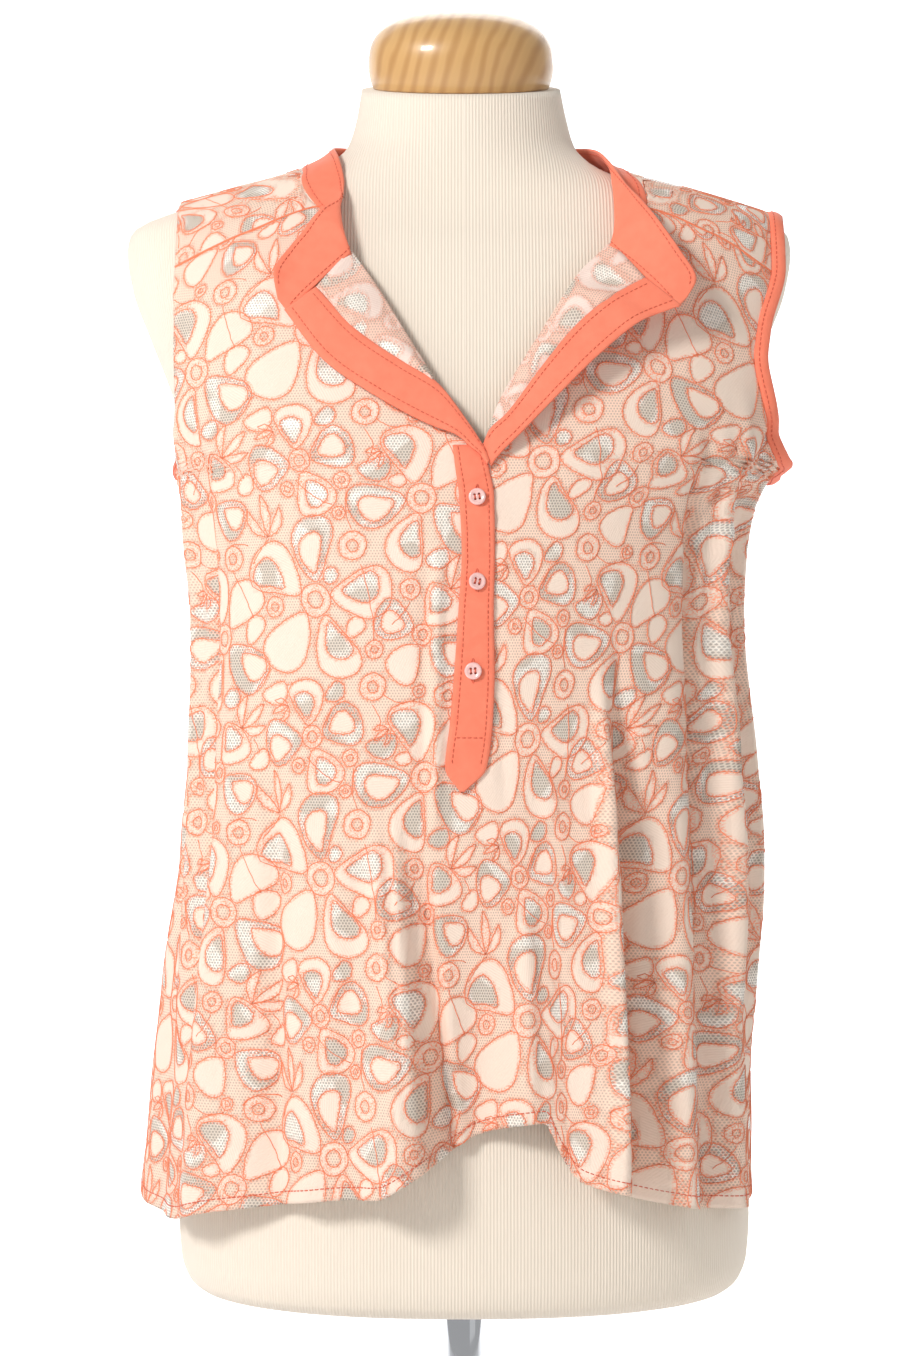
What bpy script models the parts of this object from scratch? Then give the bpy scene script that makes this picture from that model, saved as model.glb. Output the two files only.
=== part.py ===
"""Sleeveless lace blouse with a turned-back band collar, resting on a limbless dress form.

Metres, +Z up. The front of the blouse faces -Y. The origin is the centre of the foot's underside.
Turns are in degrees round the upright axis: 0 is the front, +90 the viewer's right, 180 the back.
"""
import math

import bmesh
import bpy
import numpy as np
from mathutils import Matrix

# ---- walls and gaps ----
LACE_WALL = 0.0012
TRIM_WALL = 0.0014
SEAM_GAP = 0.0004
TRIM_GAP = 0.0010
LAYER_GAP = 0.0003

# ---- dress form ----
FOOT_RADIUS = 0.165
FOOT_HUB_HEIGHT = 0.020
FOOT_FACETS = 56
POLE_RADIUS = 0.012
POLE_SOCKET = 0.060
POLE_FACETS = 24
TORSO_UNDERSIDE = 0.240
TORSO_FACETS = 44
NECK_BEND = 0.915
NECK_TOP = 0.957
NECK_SLANT = 15.0
CAP_X = -0.0018
CAP_RADIUS = 0.0555
CAP_HEIGHT = 0.046
CAP_FLATTENING = 0.88
CAP_BELLY = 0.0138
CAP_SQUARENESS = 2.6
CAP_ARC_POINTS = 9
CAP_FACETS = 40

# Outline of the foot, from its middle over the hub and down to the floor.
FOOT_PROFILE = [
    (0.0, FOOT_HUB_HEIGHT),
    (0.0240, FOOT_HUB_HEIGHT),
    (0.0300, 0.0170),
    (0.0345, 0.0128),
    (0.0990, 0.0104),
    (0.1568, 0.0080),
    (FOOT_RADIUS, 0.0048),
    (FOOT_RADIUS, 0.0),
    (0.0, 0.0),
]

# Underside of the neck cap, from its widest part in to its middle.
CAP_UNDERSIDE = [
    (0.0547, 0.0046),
    (0.0527, 0.0),
    (0.0, 0.0),
]

# Rings of the torso, from the underside up to the neck.
TORSO_RINGS = (
    ("height", "left", "right", "front", "back", "square"),
    [
        (0.240, 0.1470, 0.1470, 0.0950, 0.0950, 2.3),
        (0.243, 0.1570, 0.1570, 0.1050, 0.1050, 2.3),
        (0.250, 0.1645, 0.1645, 0.1125, 0.1120, 2.3),
        (0.262, 0.1685, 0.1685, 0.1165, 0.1160, 2.3),
        (0.286, 0.1700, 0.1700, 0.1180, 0.1180, 2.3),
        (0.330, 0.1650, 0.1640, 0.1160, 0.1170, 2.3),
        (0.400, 0.1530, 0.1530, 0.1060, 0.1090, 2.3),
        (0.460, 0.1370, 0.1370, 0.0940, 0.0940, 2.3),
        (0.515, 0.1260, 0.1260, 0.0870, 0.0820, 2.3),
        (0.570, 0.1310, 0.1290, 0.0920, 0.0810, 2.3),
        (0.615, 0.1410, 0.1390, 0.1070, 0.0850, 2.3),
        (0.655, 0.1510, 0.1490, 0.1210, 0.0900, 2.3),
        (0.690, 0.1580, 0.1540, 0.1190, 0.0950, 2.3),
        (0.725, 0.1630, 0.1590, 0.1120, 0.0985, 2.3),
        (0.765, 0.1720, 0.1660, 0.1030, 0.1000, 2.3),
        (0.805, 0.1870, 0.1810, 0.0920, 0.0985, 2.3),
        (0.835, 0.1980, 0.1920, 0.0820, 0.0950, 2.3),
        (0.858, 0.2015, 0.1955, 0.0720, 0.0880, 2.3),
        (0.866, 0.2005, 0.1945, 0.0670, 0.0830, 2.3),
        (0.8716, 0.1970, 0.1910, 0.0640, 0.0805, 2.3),
        (0.876, 0.1890, 0.1830, 0.0620, 0.0785, 2.3),
        (0.8845, 0.1630, 0.1570, 0.0595, 0.0740, 2.3),
        (0.891, 0.1400, 0.1340, 0.0580, 0.0720, 2.3),
        (0.897, 0.1160, 0.1100, 0.0565, 0.0705, 2.3),
        (0.9035, 0.0950, 0.0890, 0.0548, 0.0705, 2.3),
        (0.912, 0.0795, 0.0745, 0.0525, 0.0680, 2.2),
        (0.921, 0.0700, 0.0665, 0.0505, 0.0655, 2.1),
        (0.938, 0.0645, 0.0615, 0.0480, 0.0610, 2.1),
        (0.957, 0.0612, 0.0576, 0.0460, 0.0580, 2.1),
    ],
)

# ---- blouse ----
# Rings of the cloth's middle surface. Below the bust it hangs free; at the shoulders it lies on the form.
CLOTH_RINGS = (
    ("height", "left", "right", "front", "back", "square"),
    [
        (0.280, 0.1935, 0.1725, 0.1370, 0.1340, 2.3),
        (0.337, 0.1885, 0.1705, 0.1365, 0.1330, 2.3),
        (0.426, 0.1795, 0.1710, 0.1345, 0.1270, 2.3),
        (0.501, 0.1685, 0.1715, 0.1330, 0.1200, 2.3),
        (0.555, 0.1645, 0.1670, 0.1320, 0.1140, 2.35),
        (0.591, 0.1620, 0.1625, 0.1320, 0.1100, 2.4),
        (0.639, 0.1605, 0.1580, 0.1315, 0.1060, 2.4),
        (0.675, 0.1645, 0.1600, 0.1295, 0.1080, 2.4),
        (0.700, 0.1670, 0.1660, 0.1265, 0.1090, 2.45),
        (0.7168, 0.1695, 0.1755, 0.1235, 0.1100, 2.5),
        (0.732, 0.1730, 0.1890, 0.1200, 0.1110, 2.6),
        (0.760, 0.1800, 0.1930, 0.1130, 0.1115, 2.7),
        (0.785, 0.1870, 0.1940, 0.1070, 0.1110, 2.7),
        (0.805, 0.1940, 0.1980, 0.1010, 0.1095, 2.65),
        (0.835, 0.2030, 0.2005, 0.0905, 0.1050, 2.55),
        (0.858, 0.2060, 0.2000, 0.0800, 0.0970, 2.45),
        (0.868, 0.2045, 0.1985, 0.0745, 0.0905, 2.4),
        (0.8746, 0.2000, 0.1940, 0.0690, 0.0850, 2.4),
        (0.879, 0.1920, 0.1860, 0.0660, 0.0825, 2.4),
        (0.8875, 0.1660, 0.1600, 0.0635, 0.0785, 2.4),
        (0.894, 0.1430, 0.1370, 0.0620, 0.0770, 2.4),
        (0.900, 0.1190, 0.1130, 0.0605, 0.0755, 2.4),
        (0.9065, 0.0985, 0.0925, 0.0588, 0.0740, 2.4),
        (0.915, 0.0830, 0.0780, 0.0565, 0.0715, 2.4),
    ],
)
CROWN_FOOT = 0.858
CROWN_LOW = 0.80
CROWN_HIGH = 0.9149
UNDERARM = 0.7215
V_HEIGHT = 0.7327
V_X = 0.0108
V_BEND = 0.70
SLIT_FOOT = 0.548
SLIT_HALF_WIDTH = 0.0005

# Distances from the axis at which small widths at the front and the sides are turned into degrees.
FRONT_REACH = 0.128
SIDE_REACH = 0.16
SIDE_SEAM_TURN = math.degrees(SEAM_GAP / 2 / SIDE_REACH)

# Largest folds: where each one lies at the hem and at its upper end, and how far it stands out there.
FOLDS = (
    ("hem_turn", "top_turn", "top", "depth", "half_turn"),
    [
        (-14.0, -19.0, 0.52, 0.017, 12.0),
        (4.0, 1.0, 0.52, -0.017, 13.0),
        (32.0, 29.0, 0.62, 0.012, 9.0),
        (41.5, 39.0, 0.62, -0.014, 8.0),
        (49.5, 48.0, 0.71, 0.009, 6.0),
        (58.0, 57.0, 0.71, -0.011, 6.5),
        (66.0, 65.0, 0.71, 0.008, 6.0),
        (-43.0, -46.0, 0.62, -0.010, 9.0),
        (-58.0, -60.0, 0.70, 0.007, 7.0),
        (-72.0, -72.0, 0.70, -0.005, 6.5),
        (112.0, 112.0, 0.66, -0.004, 13.0),
        (133.0, 130.0, 0.62, 0.014, 13.0),
        (157.0, 155.0, 0.64, -0.012, 13.0),
        (181.0, 178.0, 0.58, 0.013, 14.0),
        (-154.0, -157.0, 0.62, -0.011, 13.0),
        (-131.0, -133.0, 0.66, 0.012, 12.0),
        (-108.0, -109.0, 0.60, -0.009, 11.0),
    ],
)
FOLD_FOOT = 0.30

# Rows and columns of points in the panels.
FRONT_COLUMNS = 16
FRONT_LOW_ROWS = 14
FRONT_HIGH_ROWS = 8
BACK_COLUMNS = 33
BACK_LOW_ROWS = 12
BACK_MIDDLE_ROWS = 6
BACK_MIDDLE_PACE = 1.6
CROWN_ROWS = 7

# Hem line round the body.
HEM = (
    ("turn", "height"),
    [
        (-180.0, 0.288),
        (-150.0, 0.285),
        (-115.0, 0.284),
        (-96.0, 0.297),
        (-88.0, 0.300),
        (-66.0, 0.294),
        (-53.0, 0.303),
        (-30.0, 0.3133),
        (-18.0, 0.3165),
        (-9.5, 0.3290),
        (-5.0, 0.3370),
        (4.0, 0.3490),
        (19.0, 0.3570),
        (22.5, 0.3400),
        (26.7, 0.3240),
        (37.0, 0.3155),
        (53.0, 0.3040),
        (64.0, 0.3000),
        (90.0, 0.2985),
        (120.0, 0.2930),
        (150.0, 0.2890),
        (180.0, 0.2880),
    ],
)

# Armhole edges, as turns at each height above the underarm.
ARMHOLE = (
    ("height", "front_left", "front_right", "back_left", "back_right"),
    [
        (0.7215, 90.0, 90.0, 90.0, 90.0),
        (0.7245, 84.0, 86.0, 96.0, 95.0),
        (0.732, 77.0, 79.0, 103.0, 101.0),
        (0.747, 72.5, 76.5, 107.0, 104.0),
        (0.762, 70.5, 73.0, 110.0, 106.0),
        (0.785, 69.0, 71.5, 113.0, 108.0),
        (0.805, 68.7, 73.0, 114.0, 108.5),
        (0.835, 69.7, 77.5, 113.5, 107.0),
        (0.860, 71.8, 82.0, 112.0, 104.5),
    ],
)

# Top edge of the front: the neckline from the roll line (0) to the shoulder seam's inner end, then the seam.
FRONT_TOP = (
    ("across", "left_height", "right_height"),
    [
        (0.0, 0.8480, 0.8530),
        (0.10, 0.8640, 0.8670),
        (0.20, 0.8765, 0.8765),
        (0.60, 0.8610, 0.8610),
        (1.0, 0.8420, 0.8400),
    ],
)
SEAM_START = 0.20
SHOULDER_TURN = 128.0
CROWN_REACH = 0.10
NECK_EASE = 0.15

# Neckline over the shoulders, from the shoulder seam (0) to the middle of the back (1).
NECKLINE = (
    ("across", "left_turn", "left_height", "right_turn", "right_height"),
    [
        (0.0, 52.4, 0.8765, 59.9, 0.8765),
        (0.2, 66.4, 0.9015, 67.0, 0.8985),
        (0.4, 84.0, 0.9090, 84.0, 0.9075),
        (0.6, 106.0, 0.9110, 106.0, 0.9105),
        (0.8, 139.0, 0.9090, 139.0, 0.9085),
        (1.0, 180.0, 0.9045, 180.0, 0.9045),
    ],
)

# Turned-back front edges, from the V up to the neckline: the roll line, the trim's inner edge and its
# outer edge as seen from the front, and how far the trim's two edges stand off the front panel.
LAPEL_COLUMNS = (
    "place", "roll_x", "roll_z", "inner_x", "inner_z", "outer_x", "outer_z", "inner_lift", "outer_lift",
)
LEFT_LAPEL = (
    LAPEL_COLUMNS,
    [
        (0.00, 0.0110, 0.7310, 0.0110, 0.7310, 0.0085, 0.7300, 0.0040, 0.0042),
        (0.12, 0.0080, 0.7365, 0.0080, 0.7365, 0.0040, 0.7330, 0.0040, 0.0044),
        (0.25, 0.0007, 0.7479, 0.0007, 0.7479, -0.0040, 0.7400, 0.0040, 0.0045),
        (0.42, -0.0162, 0.7698, -0.0162, 0.7698, -0.0207, 0.7468, 0.0036, 0.0042),
        (0.60, -0.0314, 0.7940, -0.0342, 0.7811, -0.0534, 0.7650, 0.0036, 0.0042),
        (0.80, -0.0494, 0.8240, -0.0605, 0.7995, -0.0792, 0.7837, 0.0042, 0.0046),
        (1.00, -0.0656, 0.8480, -0.0847, 0.8257, -0.1018, 0.8132, 0.0050, 0.0050),
    ],
)
RIGHT_LAPEL = (
    LAPEL_COLUMNS,
    [
        (0.00, 0.0135, 0.7350, 0.0135, 0.7350, 0.0170, 0.7270, 0.0030, 0.0036),
        (0.15, 0.0209, 0.7602, 0.0231, 0.7512, 0.0299, 0.7400, 0.0045, 0.0080),
        (0.40, 0.0340, 0.7830, 0.0453, 0.7811, 0.0535, 0.7642, 0.0070, 0.0135),
        (0.62, 0.0506, 0.8098, 0.0642, 0.8036, 0.0759, 0.7863, 0.0095, 0.0175),
        (0.82, 0.0646, 0.8326, 0.0832, 0.8194, 0.0993, 0.8050, 0.0120, 0.0205),
        (1.00, 0.0840, 0.8530, 0.1023, 0.8303, 0.1211, 0.8138, 0.0140, 0.0230),
    ],
)
ROLL_LIFT = 0.0020
ROLL_DROP = 0.0020
LAPEL_TOP = 0.985
LEFT_TURNBACK = (0.44, 8)
RIGHT_TURNBACK = (0.06, 10)
LAPEL_STRIP_ROWS = 12
LARGEST_INSET = 0.3

# Collar band, from its left end round the back of the neck to its right end: the crest where it stands
# or rolls over, and its free edge. Its other edge is sewn along the neckline.
BAND = (
    ("place", "crest_x", "crest_y", "crest_z", "edge_x", "edge_y", "edge_z"),
    [
        (0.00, -0.1038, -0.0955, 0.8160, -0.1058, -0.0950, 0.8185),
        (0.05, -0.1010, -0.0930, 0.8280, -0.1081, -0.0930, 0.8337),
        (0.12, -0.0915, -0.0900, 0.8395, -0.0995, -0.0850, 0.8497),
        (0.19, -0.0810, -0.0875, 0.8490, -0.0921, -0.0810, 0.8594),
        (0.25, -0.0705, -0.0850, 0.8610, -0.0868, -0.0780, 0.8676),
        (0.295, -0.0700, -0.0745, 0.8745, -0.0828, -0.0755, 0.8725),
        (0.34, -0.0785, -0.0605, 0.8850, -0.0715, -0.0565, 0.8905),
        (0.37, -0.0825, -0.0425, 0.9045, -0.0740, -0.0410, 0.9085),
        (0.41, -0.0845, -0.0090, 0.9135, -0.0775, -0.0120, 0.9190),
        (0.45, -0.0725, 0.0360, 0.9165, -0.0680, 0.0280, 0.9260),
        (0.48, -0.0370, 0.0640, 0.9165, -0.0380, 0.0580, 0.9310),
        (0.50, 0.0000, 0.0720, 0.9165, 0.0000, 0.0680, 0.9320),
        (0.52, 0.0360, 0.0640, 0.9165, 0.0370, 0.0580, 0.9310),
        (0.55, 0.0700, 0.0360, 0.9165, 0.0665, 0.0280, 0.9260),
        (0.59, 0.0820, -0.0080, 0.9130, 0.0775, -0.0100, 0.9185),
        (0.63, 0.0855, -0.0420, 0.9010, 0.0845, -0.0470, 0.9050),
        (0.66, 0.0835, -0.0540, 0.8940, 0.0930, -0.0680, 0.8890),
        (0.705, 0.0840, -0.0720, 0.8750, 0.1017, -0.0830, 0.8763),
        (0.75, 0.0870, -0.0830, 0.8620, 0.1109, -0.0950, 0.8622),
        (0.85, 0.1100, -0.0985, 0.8420, 0.1217, -0.1000, 0.8455),
        (0.93, 0.1205, -0.1045, 0.8290, 0.1300, -0.1050, 0.8297),
        (1.00, 0.1235, -0.1085, 0.8165, 0.1255, -0.1080, 0.8190),
    ],
)
BAND_ENDS = 0.25
BAND_STAND = 0.34
BAND_SEAM_STEP = 0.0021
BAND_ROWS = 49
BAND_ROW_PACE = ((0.0, 0.25, 0.75, 1.0), (0.0, 0.33, 0.67, 1.0))

# Closed part of the placket: its two edges at each height, down to the point.
PLACKET = (
    ("height", "left_x", "right_x"),
    [
        (0.5409, -0.0022, -0.0010),
        (0.5540, -0.0103, 0.0113),
        (0.5800, -0.0075, 0.0148),
        (0.6100, -0.0050, 0.0158),
        (0.6400, -0.0030, 0.0153),
        (0.6730, -0.0011, 0.0160),
        (0.7050, -0.0025, 0.0156),
        (0.7200, -0.0045, 0.0130),
        (0.7340, -0.0062, 0.0090),
    ],
)
PLACKET_EXTRA_ROWS = [0.562, 0.595, 0.625, 0.656, 0.689]
UNDERLAP_HALF_WIDTH = 0.0085
UNDERLAP_FOOT = 0.5520
UNDERLAP_TOP = 0.7247
UNDERLAP_ROWS = 12
BUTTONS = (("x", "z"), [(0.0068, 0.7048), (0.0068, 0.6576), (0.0045, 0.6079)])
BUTTON_RADIUS = 0.0048
BUTTON_HEIGHT = 0.0022
BUTTON_FACETS = 28
BUTTON_HOLE_RADIUS = 0.0007
BUTTON_HOLE_OFFSET = 0.0011
BUTTON_HOLE_FACETS = 8
BUTTON_GAP = 0.00102
BUTTON_TILT_REACH = 0.004

# Binding round an armhole: where its two edges lie, along the cloth into the opening and out from it.
BINDING_COLUMNS = ("place", "near_in", "near_out", "far_in", "far_out")
OUTWARD_BINDING = (
    BINDING_COLUMNS,
    [
        (0.0, 0.0006, 0.0, 0.0074, 0.0),
        (1.0, 0.0006, 0.0, 0.0074, 0.0),
    ],
)
TUCKED_BINDING = (
    BINDING_COLUMNS,
    [
        (0.0, 0.0006, 0.0, 0.0074, 0.0),
        (0.06, 0.0006, -0.0005, 0.0060, -0.0020),
        (0.12, 0.0002, -0.0020, -0.0062, -0.0027),
        (0.36, 0.0002, -0.0020, -0.0062, -0.0027),
        (0.44, 0.0011, -0.0013, 0.0010, -0.0060),
        (0.52, 0.0006, 0.0, 0.0074, 0.0),
        (1.0, 0.0006, 0.0, 0.0074, 0.0),
    ],
)

# Points closer than this are one, and crown heights are found by this many halvings.
WELD = 0.00001
HALVINGS = 36
SLOPE_REACH = 0.0004

PALETTE = {
    "lace": ((0.93, 0.70, 0.58), 0.80, 0.0),
    "coral_poplin": ((0.95, 0.27, 0.14), 0.70, 0.0),
    "pearl_pink": ((0.93, 0.62, 0.58), 0.25, 0.0),
    "jersey": ((0.90, 0.82, 0.71), 0.90, 0.0),
    "lacquered_wood": ((0.74, 0.46, 0.20), 0.25, 0.0),
    "chrome": ((0.75, 0.76, 0.78), 0.12, 1.0),
    "steel": ((0.62, 0.62, 0.63), 0.35, 1.0),
}


# ---- tables and surfaces ----
def read(table, name, at):
    """Value of a named column, by a smooth curve through the rows that never overshoots them."""
    names, rows = table
    grid = np.array(rows)
    spot = grid[:, 0]
    value = grid[:, names.index(name)]
    step = np.diff(spot)
    rise = np.diff(value) / step
    slope = np.zeros(len(spot))
    slope[0] = rise[0]
    slope[-1] = rise[-1]
    for row in range(1, len(spot) - 1):
        before, after = rise[row - 1], rise[row]
        if before * after > 0:
            slope[row] = 2.0 * before * after / (before + after)
    at = np.clip(np.asarray(at, dtype=float), spot[0], spot[-1])
    low = np.clip(np.searchsorted(spot, at, side="right") - 1, 0, len(spot) - 2)
    t = (at - spot[low]) / step[low]
    start = (2 * t**3 - 3 * t**2 + 1) * value[low] + (t**3 - 2 * t**2 + t) * step[low] * slope[low]
    end = (3 * t**2 - 2 * t**3) * value[low + 1] + (t**3 - t**2) * step[low] * slope[low + 1]
    return start + end


def ring_sizes(rings, x_sign, y_sign, height):
    """Half width, depth and squareness of a ring on the side of it that the signs point to."""
    width = np.where(x_sign < 0, read(rings, "left", height), read(rings, "right", height))
    depth = np.where(y_sign < 0, read(rings, "front", height), read(rings, "back", height))
    return width, depth, read(rings, "square", height)


def ring_point(rings, turn, height, outward=0.0):
    """Point of a ring at a turn in degrees, moved outward from the axis."""
    turn = np.radians(np.asarray(turn, dtype=float))
    side = np.sin(turn)
    fore = -np.cos(turn)
    width, depth, square = ring_sizes(rings, side, fore, height)
    reach = ((np.abs(side) / width) ** square + (np.abs(fore) / depth) ** square) ** (-1.0 / square)
    reach = reach + outward
    return np.stack([reach * side, reach * fore, np.broadcast_to(height, np.shape(reach))], axis=-1)


def depth_at(rings, x, height, facing):
    """y of a ring at a given x, on its front (facing -1) or its back (facing 1)."""
    width, depth, square = ring_sizes(rings, x, facing, height)
    share = np.clip(1.0 - (np.abs(x) / width) ** square, 0.0, 1.0)
    return facing * depth * share ** (1.0 / square)


def crown_height(x, y):
    """Height of the cloth over the shoulders above a given x and y."""
    x, y = np.broadcast_arrays(np.asarray(x, dtype=float), np.asarray(y, dtype=float))
    low = np.full(x.shape, CROWN_LOW)
    high = np.full(x.shape, CROWN_HIGH)
    for _ in range(HALVINGS):
        middle = (low + high) / 2
        width, depth, square = ring_sizes(CLOTH_RINGS, x, y, middle)
        inside = (np.abs(x) / width) ** square + (np.abs(y) / depth) ** square < 1.0
        low = np.where(inside, middle, low)
        high = np.where(inside, high, middle)
    return low


def cloth_normal(point):
    """Direction straight out of the cloth at a point, from the slope of its rings."""
    def level(x, y, z):
        width, depth, square = ring_sizes(CLOTH_RINGS, x, y, z)
        return (np.abs(x) / width) ** square + (np.abs(y) / depth) ** square

    slopes = []
    for axis in range(3):
        ahead = np.array(point)
        behind = np.array(point)
        ahead[..., axis] += SLOPE_REACH
        behind[..., axis] -= SLOPE_REACH
        slopes.append(level(*np.moveaxis(ahead, -1, 0)) - level(*np.moveaxis(behind, -1, 0)))
    normal = np.stack(slopes, axis=-1)
    return normal / np.linalg.norm(normal, axis=-1, keepdims=True)


def blend(start, end, share):
    return start + (end - start) * share


def smooth_step(share):
    share = np.clip(share, 0.0, 1.0)
    return share * share * (3.0 - 2.0 * share)


def fold_out(turn, height):
    """How far the folds push the cloth out at a turn and height."""
    names, rows = FOLDS
    total = np.zeros(np.broadcast(turn, height).shape)
    for row in rows:
        fold = dict(zip(names, row))
        drop = np.clip((fold["top"] - height) / (fold["top"] - FOLD_FOOT), 0.0, 1.0)
        middle = blend(fold["top_turn"], fold["hem_turn"], drop)
        away = (turn - middle + 180.0) % 360.0 - 180.0
        swell = np.cos(np.clip(away / fold["half_turn"], -1.0, 1.0) * math.pi / 2) ** 2
        total = total + fold["depth"] * smooth_step(drop) * swell
    return total


def cloth_point(turn, height):
    return ring_point(CLOTH_RINGS, turn, height, fold_out(turn, height))


def over_front(x, height, lift):
    """Point that stands off the front panel, as seen from the front at x and height."""
    x, height, lift = np.broadcast_arrays(x, height, lift)
    flat = depth_at(CLOTH_RINGS, x, height, -1)
    turn = np.degrees(np.arctan2(x, -flat))
    depth = flat - fold_out(turn, height) * np.cos(np.radians(turn))
    return np.stack([x, depth - lift, height], axis=-1)


# ---- panels ----
def roll_x(side, height):
    lapel = LEFT_LAPEL if side < 0 else RIGHT_LAPEL
    line = (("roll_z", "roll_x"), [(V_HEIGHT - ROLL_DROP, V_X)] + [(row[2], row[1]) for row in lapel[1][1:]])
    return read(line, "roll_x", height)


def side_name(side):
    return "left" if side < 0 else "right"


def armhole_turn(side, face, height):
    return side * read(ARMHOLE, face + "_" + side_name(side), height)


def placket_middle(height):
    return (read(PLACKET, "left_x", height) + read(PLACKET, "right_x", height)) / 2


def front_point(side, across, up):
    """Point of one half of the front: across 0 at the slit or roll line to 1 at the side or armhole,
    up 0 at the hem, 1 at the V and 2 at the neckline and shoulder seam."""
    if up <= 1.0:
        hem = read(HEM, "height", side * 90.0 * across)
        height = blend(hem, V_HEIGHT, up)
        centre_x = blend(placket_middle(height), V_X, smooth_step((height - V_BEND) / (V_HEIGHT - V_BEND)))
        slit = SLIT_HALF_WIDTH * side * (height > SLIT_FOOT)
        centre = np.degrees(np.arctan2(centre_x + slit, FRONT_REACH))
        outer = armhole_turn(side, "front", height) - side * SIDE_SEAM_TURN
        return cloth_point(blend(centre, outer, across), height)
    share = up - 1.0
    height = blend(V_HEIGHT, read(FRONT_TOP, side_name(side) + "_height", across), share)
    inner_x = roll_x(side, height) + side * SLIT_HALF_WIDTH
    inner = np.degrees(np.arctan2(inner_x, -depth_at(CLOTH_RINGS, inner_x, height, -1)))
    outer = armhole_turn(side, "front", height) - side * SIDE_SEAM_TURN
    edge = ring_point(CLOTH_RINGS, outer, height)
    by_turn = ring_point(CLOTH_RINGS, blend(inner, outer, across), height)[..., 0]
    x = blend(by_turn, blend(inner_x, edge[..., 0], across), share)
    return np.stack([x, depth_at(CLOTH_RINGS, x, height, -1), height], axis=-1)


def neckline_point(side, share):
    turn = side * read(NECKLINE, side_name(side) + "_turn", share)
    return ring_point(CLOTH_RINGS, turn, read(NECKLINE, side_name(side) + "_height", share))


def neck_reach(side, turn):
    """How far the neckline is from the axis at a turn; nothing in front of the shoulder seam."""
    names, rows = NECKLINE
    first = names.index(side_name(side) + "_turn")
    if turn < rows[0][first]:
        return 0.0
    height = read((("turn", "height"), [(row[first], row[first + 1]) for row in rows]), "height", turn)
    return np.linalg.norm(ring_point(CLOTH_RINGS, side * turn, height)[:2])


def back_top(across):
    """Where a column of the back ends: on the shoulder seam or on the neckline."""
    side = -1 if across < 0.5 else 1
    inward = 2.0 * min(across, 1.0 - across)
    if inward < 0.5:
        seam = front_point(side, 1.0 - (1.0 - SEAM_START) * inward / 0.5, 2.0)
        return seam[0], seam[1]
    spot = neckline_point(side, (inward - 0.5) / 0.5)
    return spot[0], spot[1]


def back_point(across, up):
    """Point of the back: across 0 to 1 from its left to its right edge,
    up 0 at the hem, 1 at the underarm, 2 at the foot of the shoulder crown and 3 at its top edge."""
    spread = blend(-90.0 - SIDE_SEAM_TURN, -270.0 + SIDE_SEAM_TURN, across)
    if up <= 1.0:
        hem = read(HEM, "height", (spread + 180.0) % 360.0 - 180.0)
        return cloth_point(spread, blend(hem, UNDERARM, up))
    rise = min(up, 2.0) - 1.0
    height = blend(UNDERARM, CROWN_FOOT, rise)
    side = -1 if across < 0.5 else 1
    inward = 2.0 * min(across, 1.0 - across)
    edge = abs(armhole_turn(side, "back", height)) + SIDE_SEAM_TURN
    even = blend(edge, 180.0, inward)
    bent = np.interp(inward, (0.0, 0.5, 1.0), (edge, SHOULDER_TURN, 180.0))
    low = ring_point(CLOTH_RINGS, side * blend(even, bent, smooth_step(rise)), height)
    if up <= 2.0:
        return low
    share = up - 2.0
    end_x, end_y = back_top(across)
    over = 0.5 - 0.5 * math.cos(math.pi * share)
    weight = smooth_step((low[1] - end_y) / CROWN_REACH)
    pace = blend(share, over, weight) * (1.0 - SEAM_GAP / (CROWN_REACH / 2))
    x = blend(low[0], end_x, pace)
    y = blend(low[1], end_y, pace)
    clear = neck_reach(side, math.degrees(math.atan2(side * x, -y))) * (1.0 + NECK_EASE * (1.0 - share))
    grow = max(1.0, clear / math.hypot(x, y))
    return np.array([x * grow, y * grow, crown_height(x * grow, y * grow)])


def front_rows():
    """Shares of the way up the front, with rows that follow the curve of the underarm."""
    hem = float(read(HEM, "height", 90.0))
    underarm = (UNDERARM - hem) / (V_HEIGHT - hem)
    rows = list(np.linspace(0.0, underarm, FRONT_LOW_ROWS)) + [(underarm + 1.0) / 2]
    return rows + list(np.linspace(1.0, 2.0, FRONT_HIGH_ROWS + 1))


def back_rows():
    rows = list(np.linspace(0.0, 1.0, BACK_LOW_ROWS))
    rows += list(1.0 + np.linspace(0.0, 1.0, BACK_MIDDLE_ROWS + 1)[1:] ** BACK_MIDDLE_PACE)
    return rows + list(np.linspace(2.0, 3.0, CROWN_ROWS + 1))[1:]


def lapel_strip(lapel, first, last, start, end, count):
    """Rows of points between two lines of a turned-back front, from the V upward."""
    rows = []
    for place in np.linspace(start, end, count):
        ends = []
        for line in (first, last):
            lift = ROLL_LIFT if line == "roll" else read(lapel, line + "_lift", place)
            ends.append(over_front(read(lapel, line + "_x", place), read(lapel, line + "_z", place), lift))
        inset = min(LARGEST_INSET, TRIM_GAP / 2 / np.linalg.norm(ends[1] - ends[0]))
        row = []
        for share in (inset, 0.5, 1.0 - inset):
            x = blend(ends[0][0], ends[1][0], share)
            height = blend(ends[0][2], ends[1][2], share)
            near = ends[0] - over_front(ends[0][0], ends[0][2], 0.0)
            far = ends[1] - over_front(ends[1][0], ends[1][2], 0.0)
            row.append(over_front(x, height, -blend(near[1], far[1], share)))
        rows.append(row)
    return np.array(rows)


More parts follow.
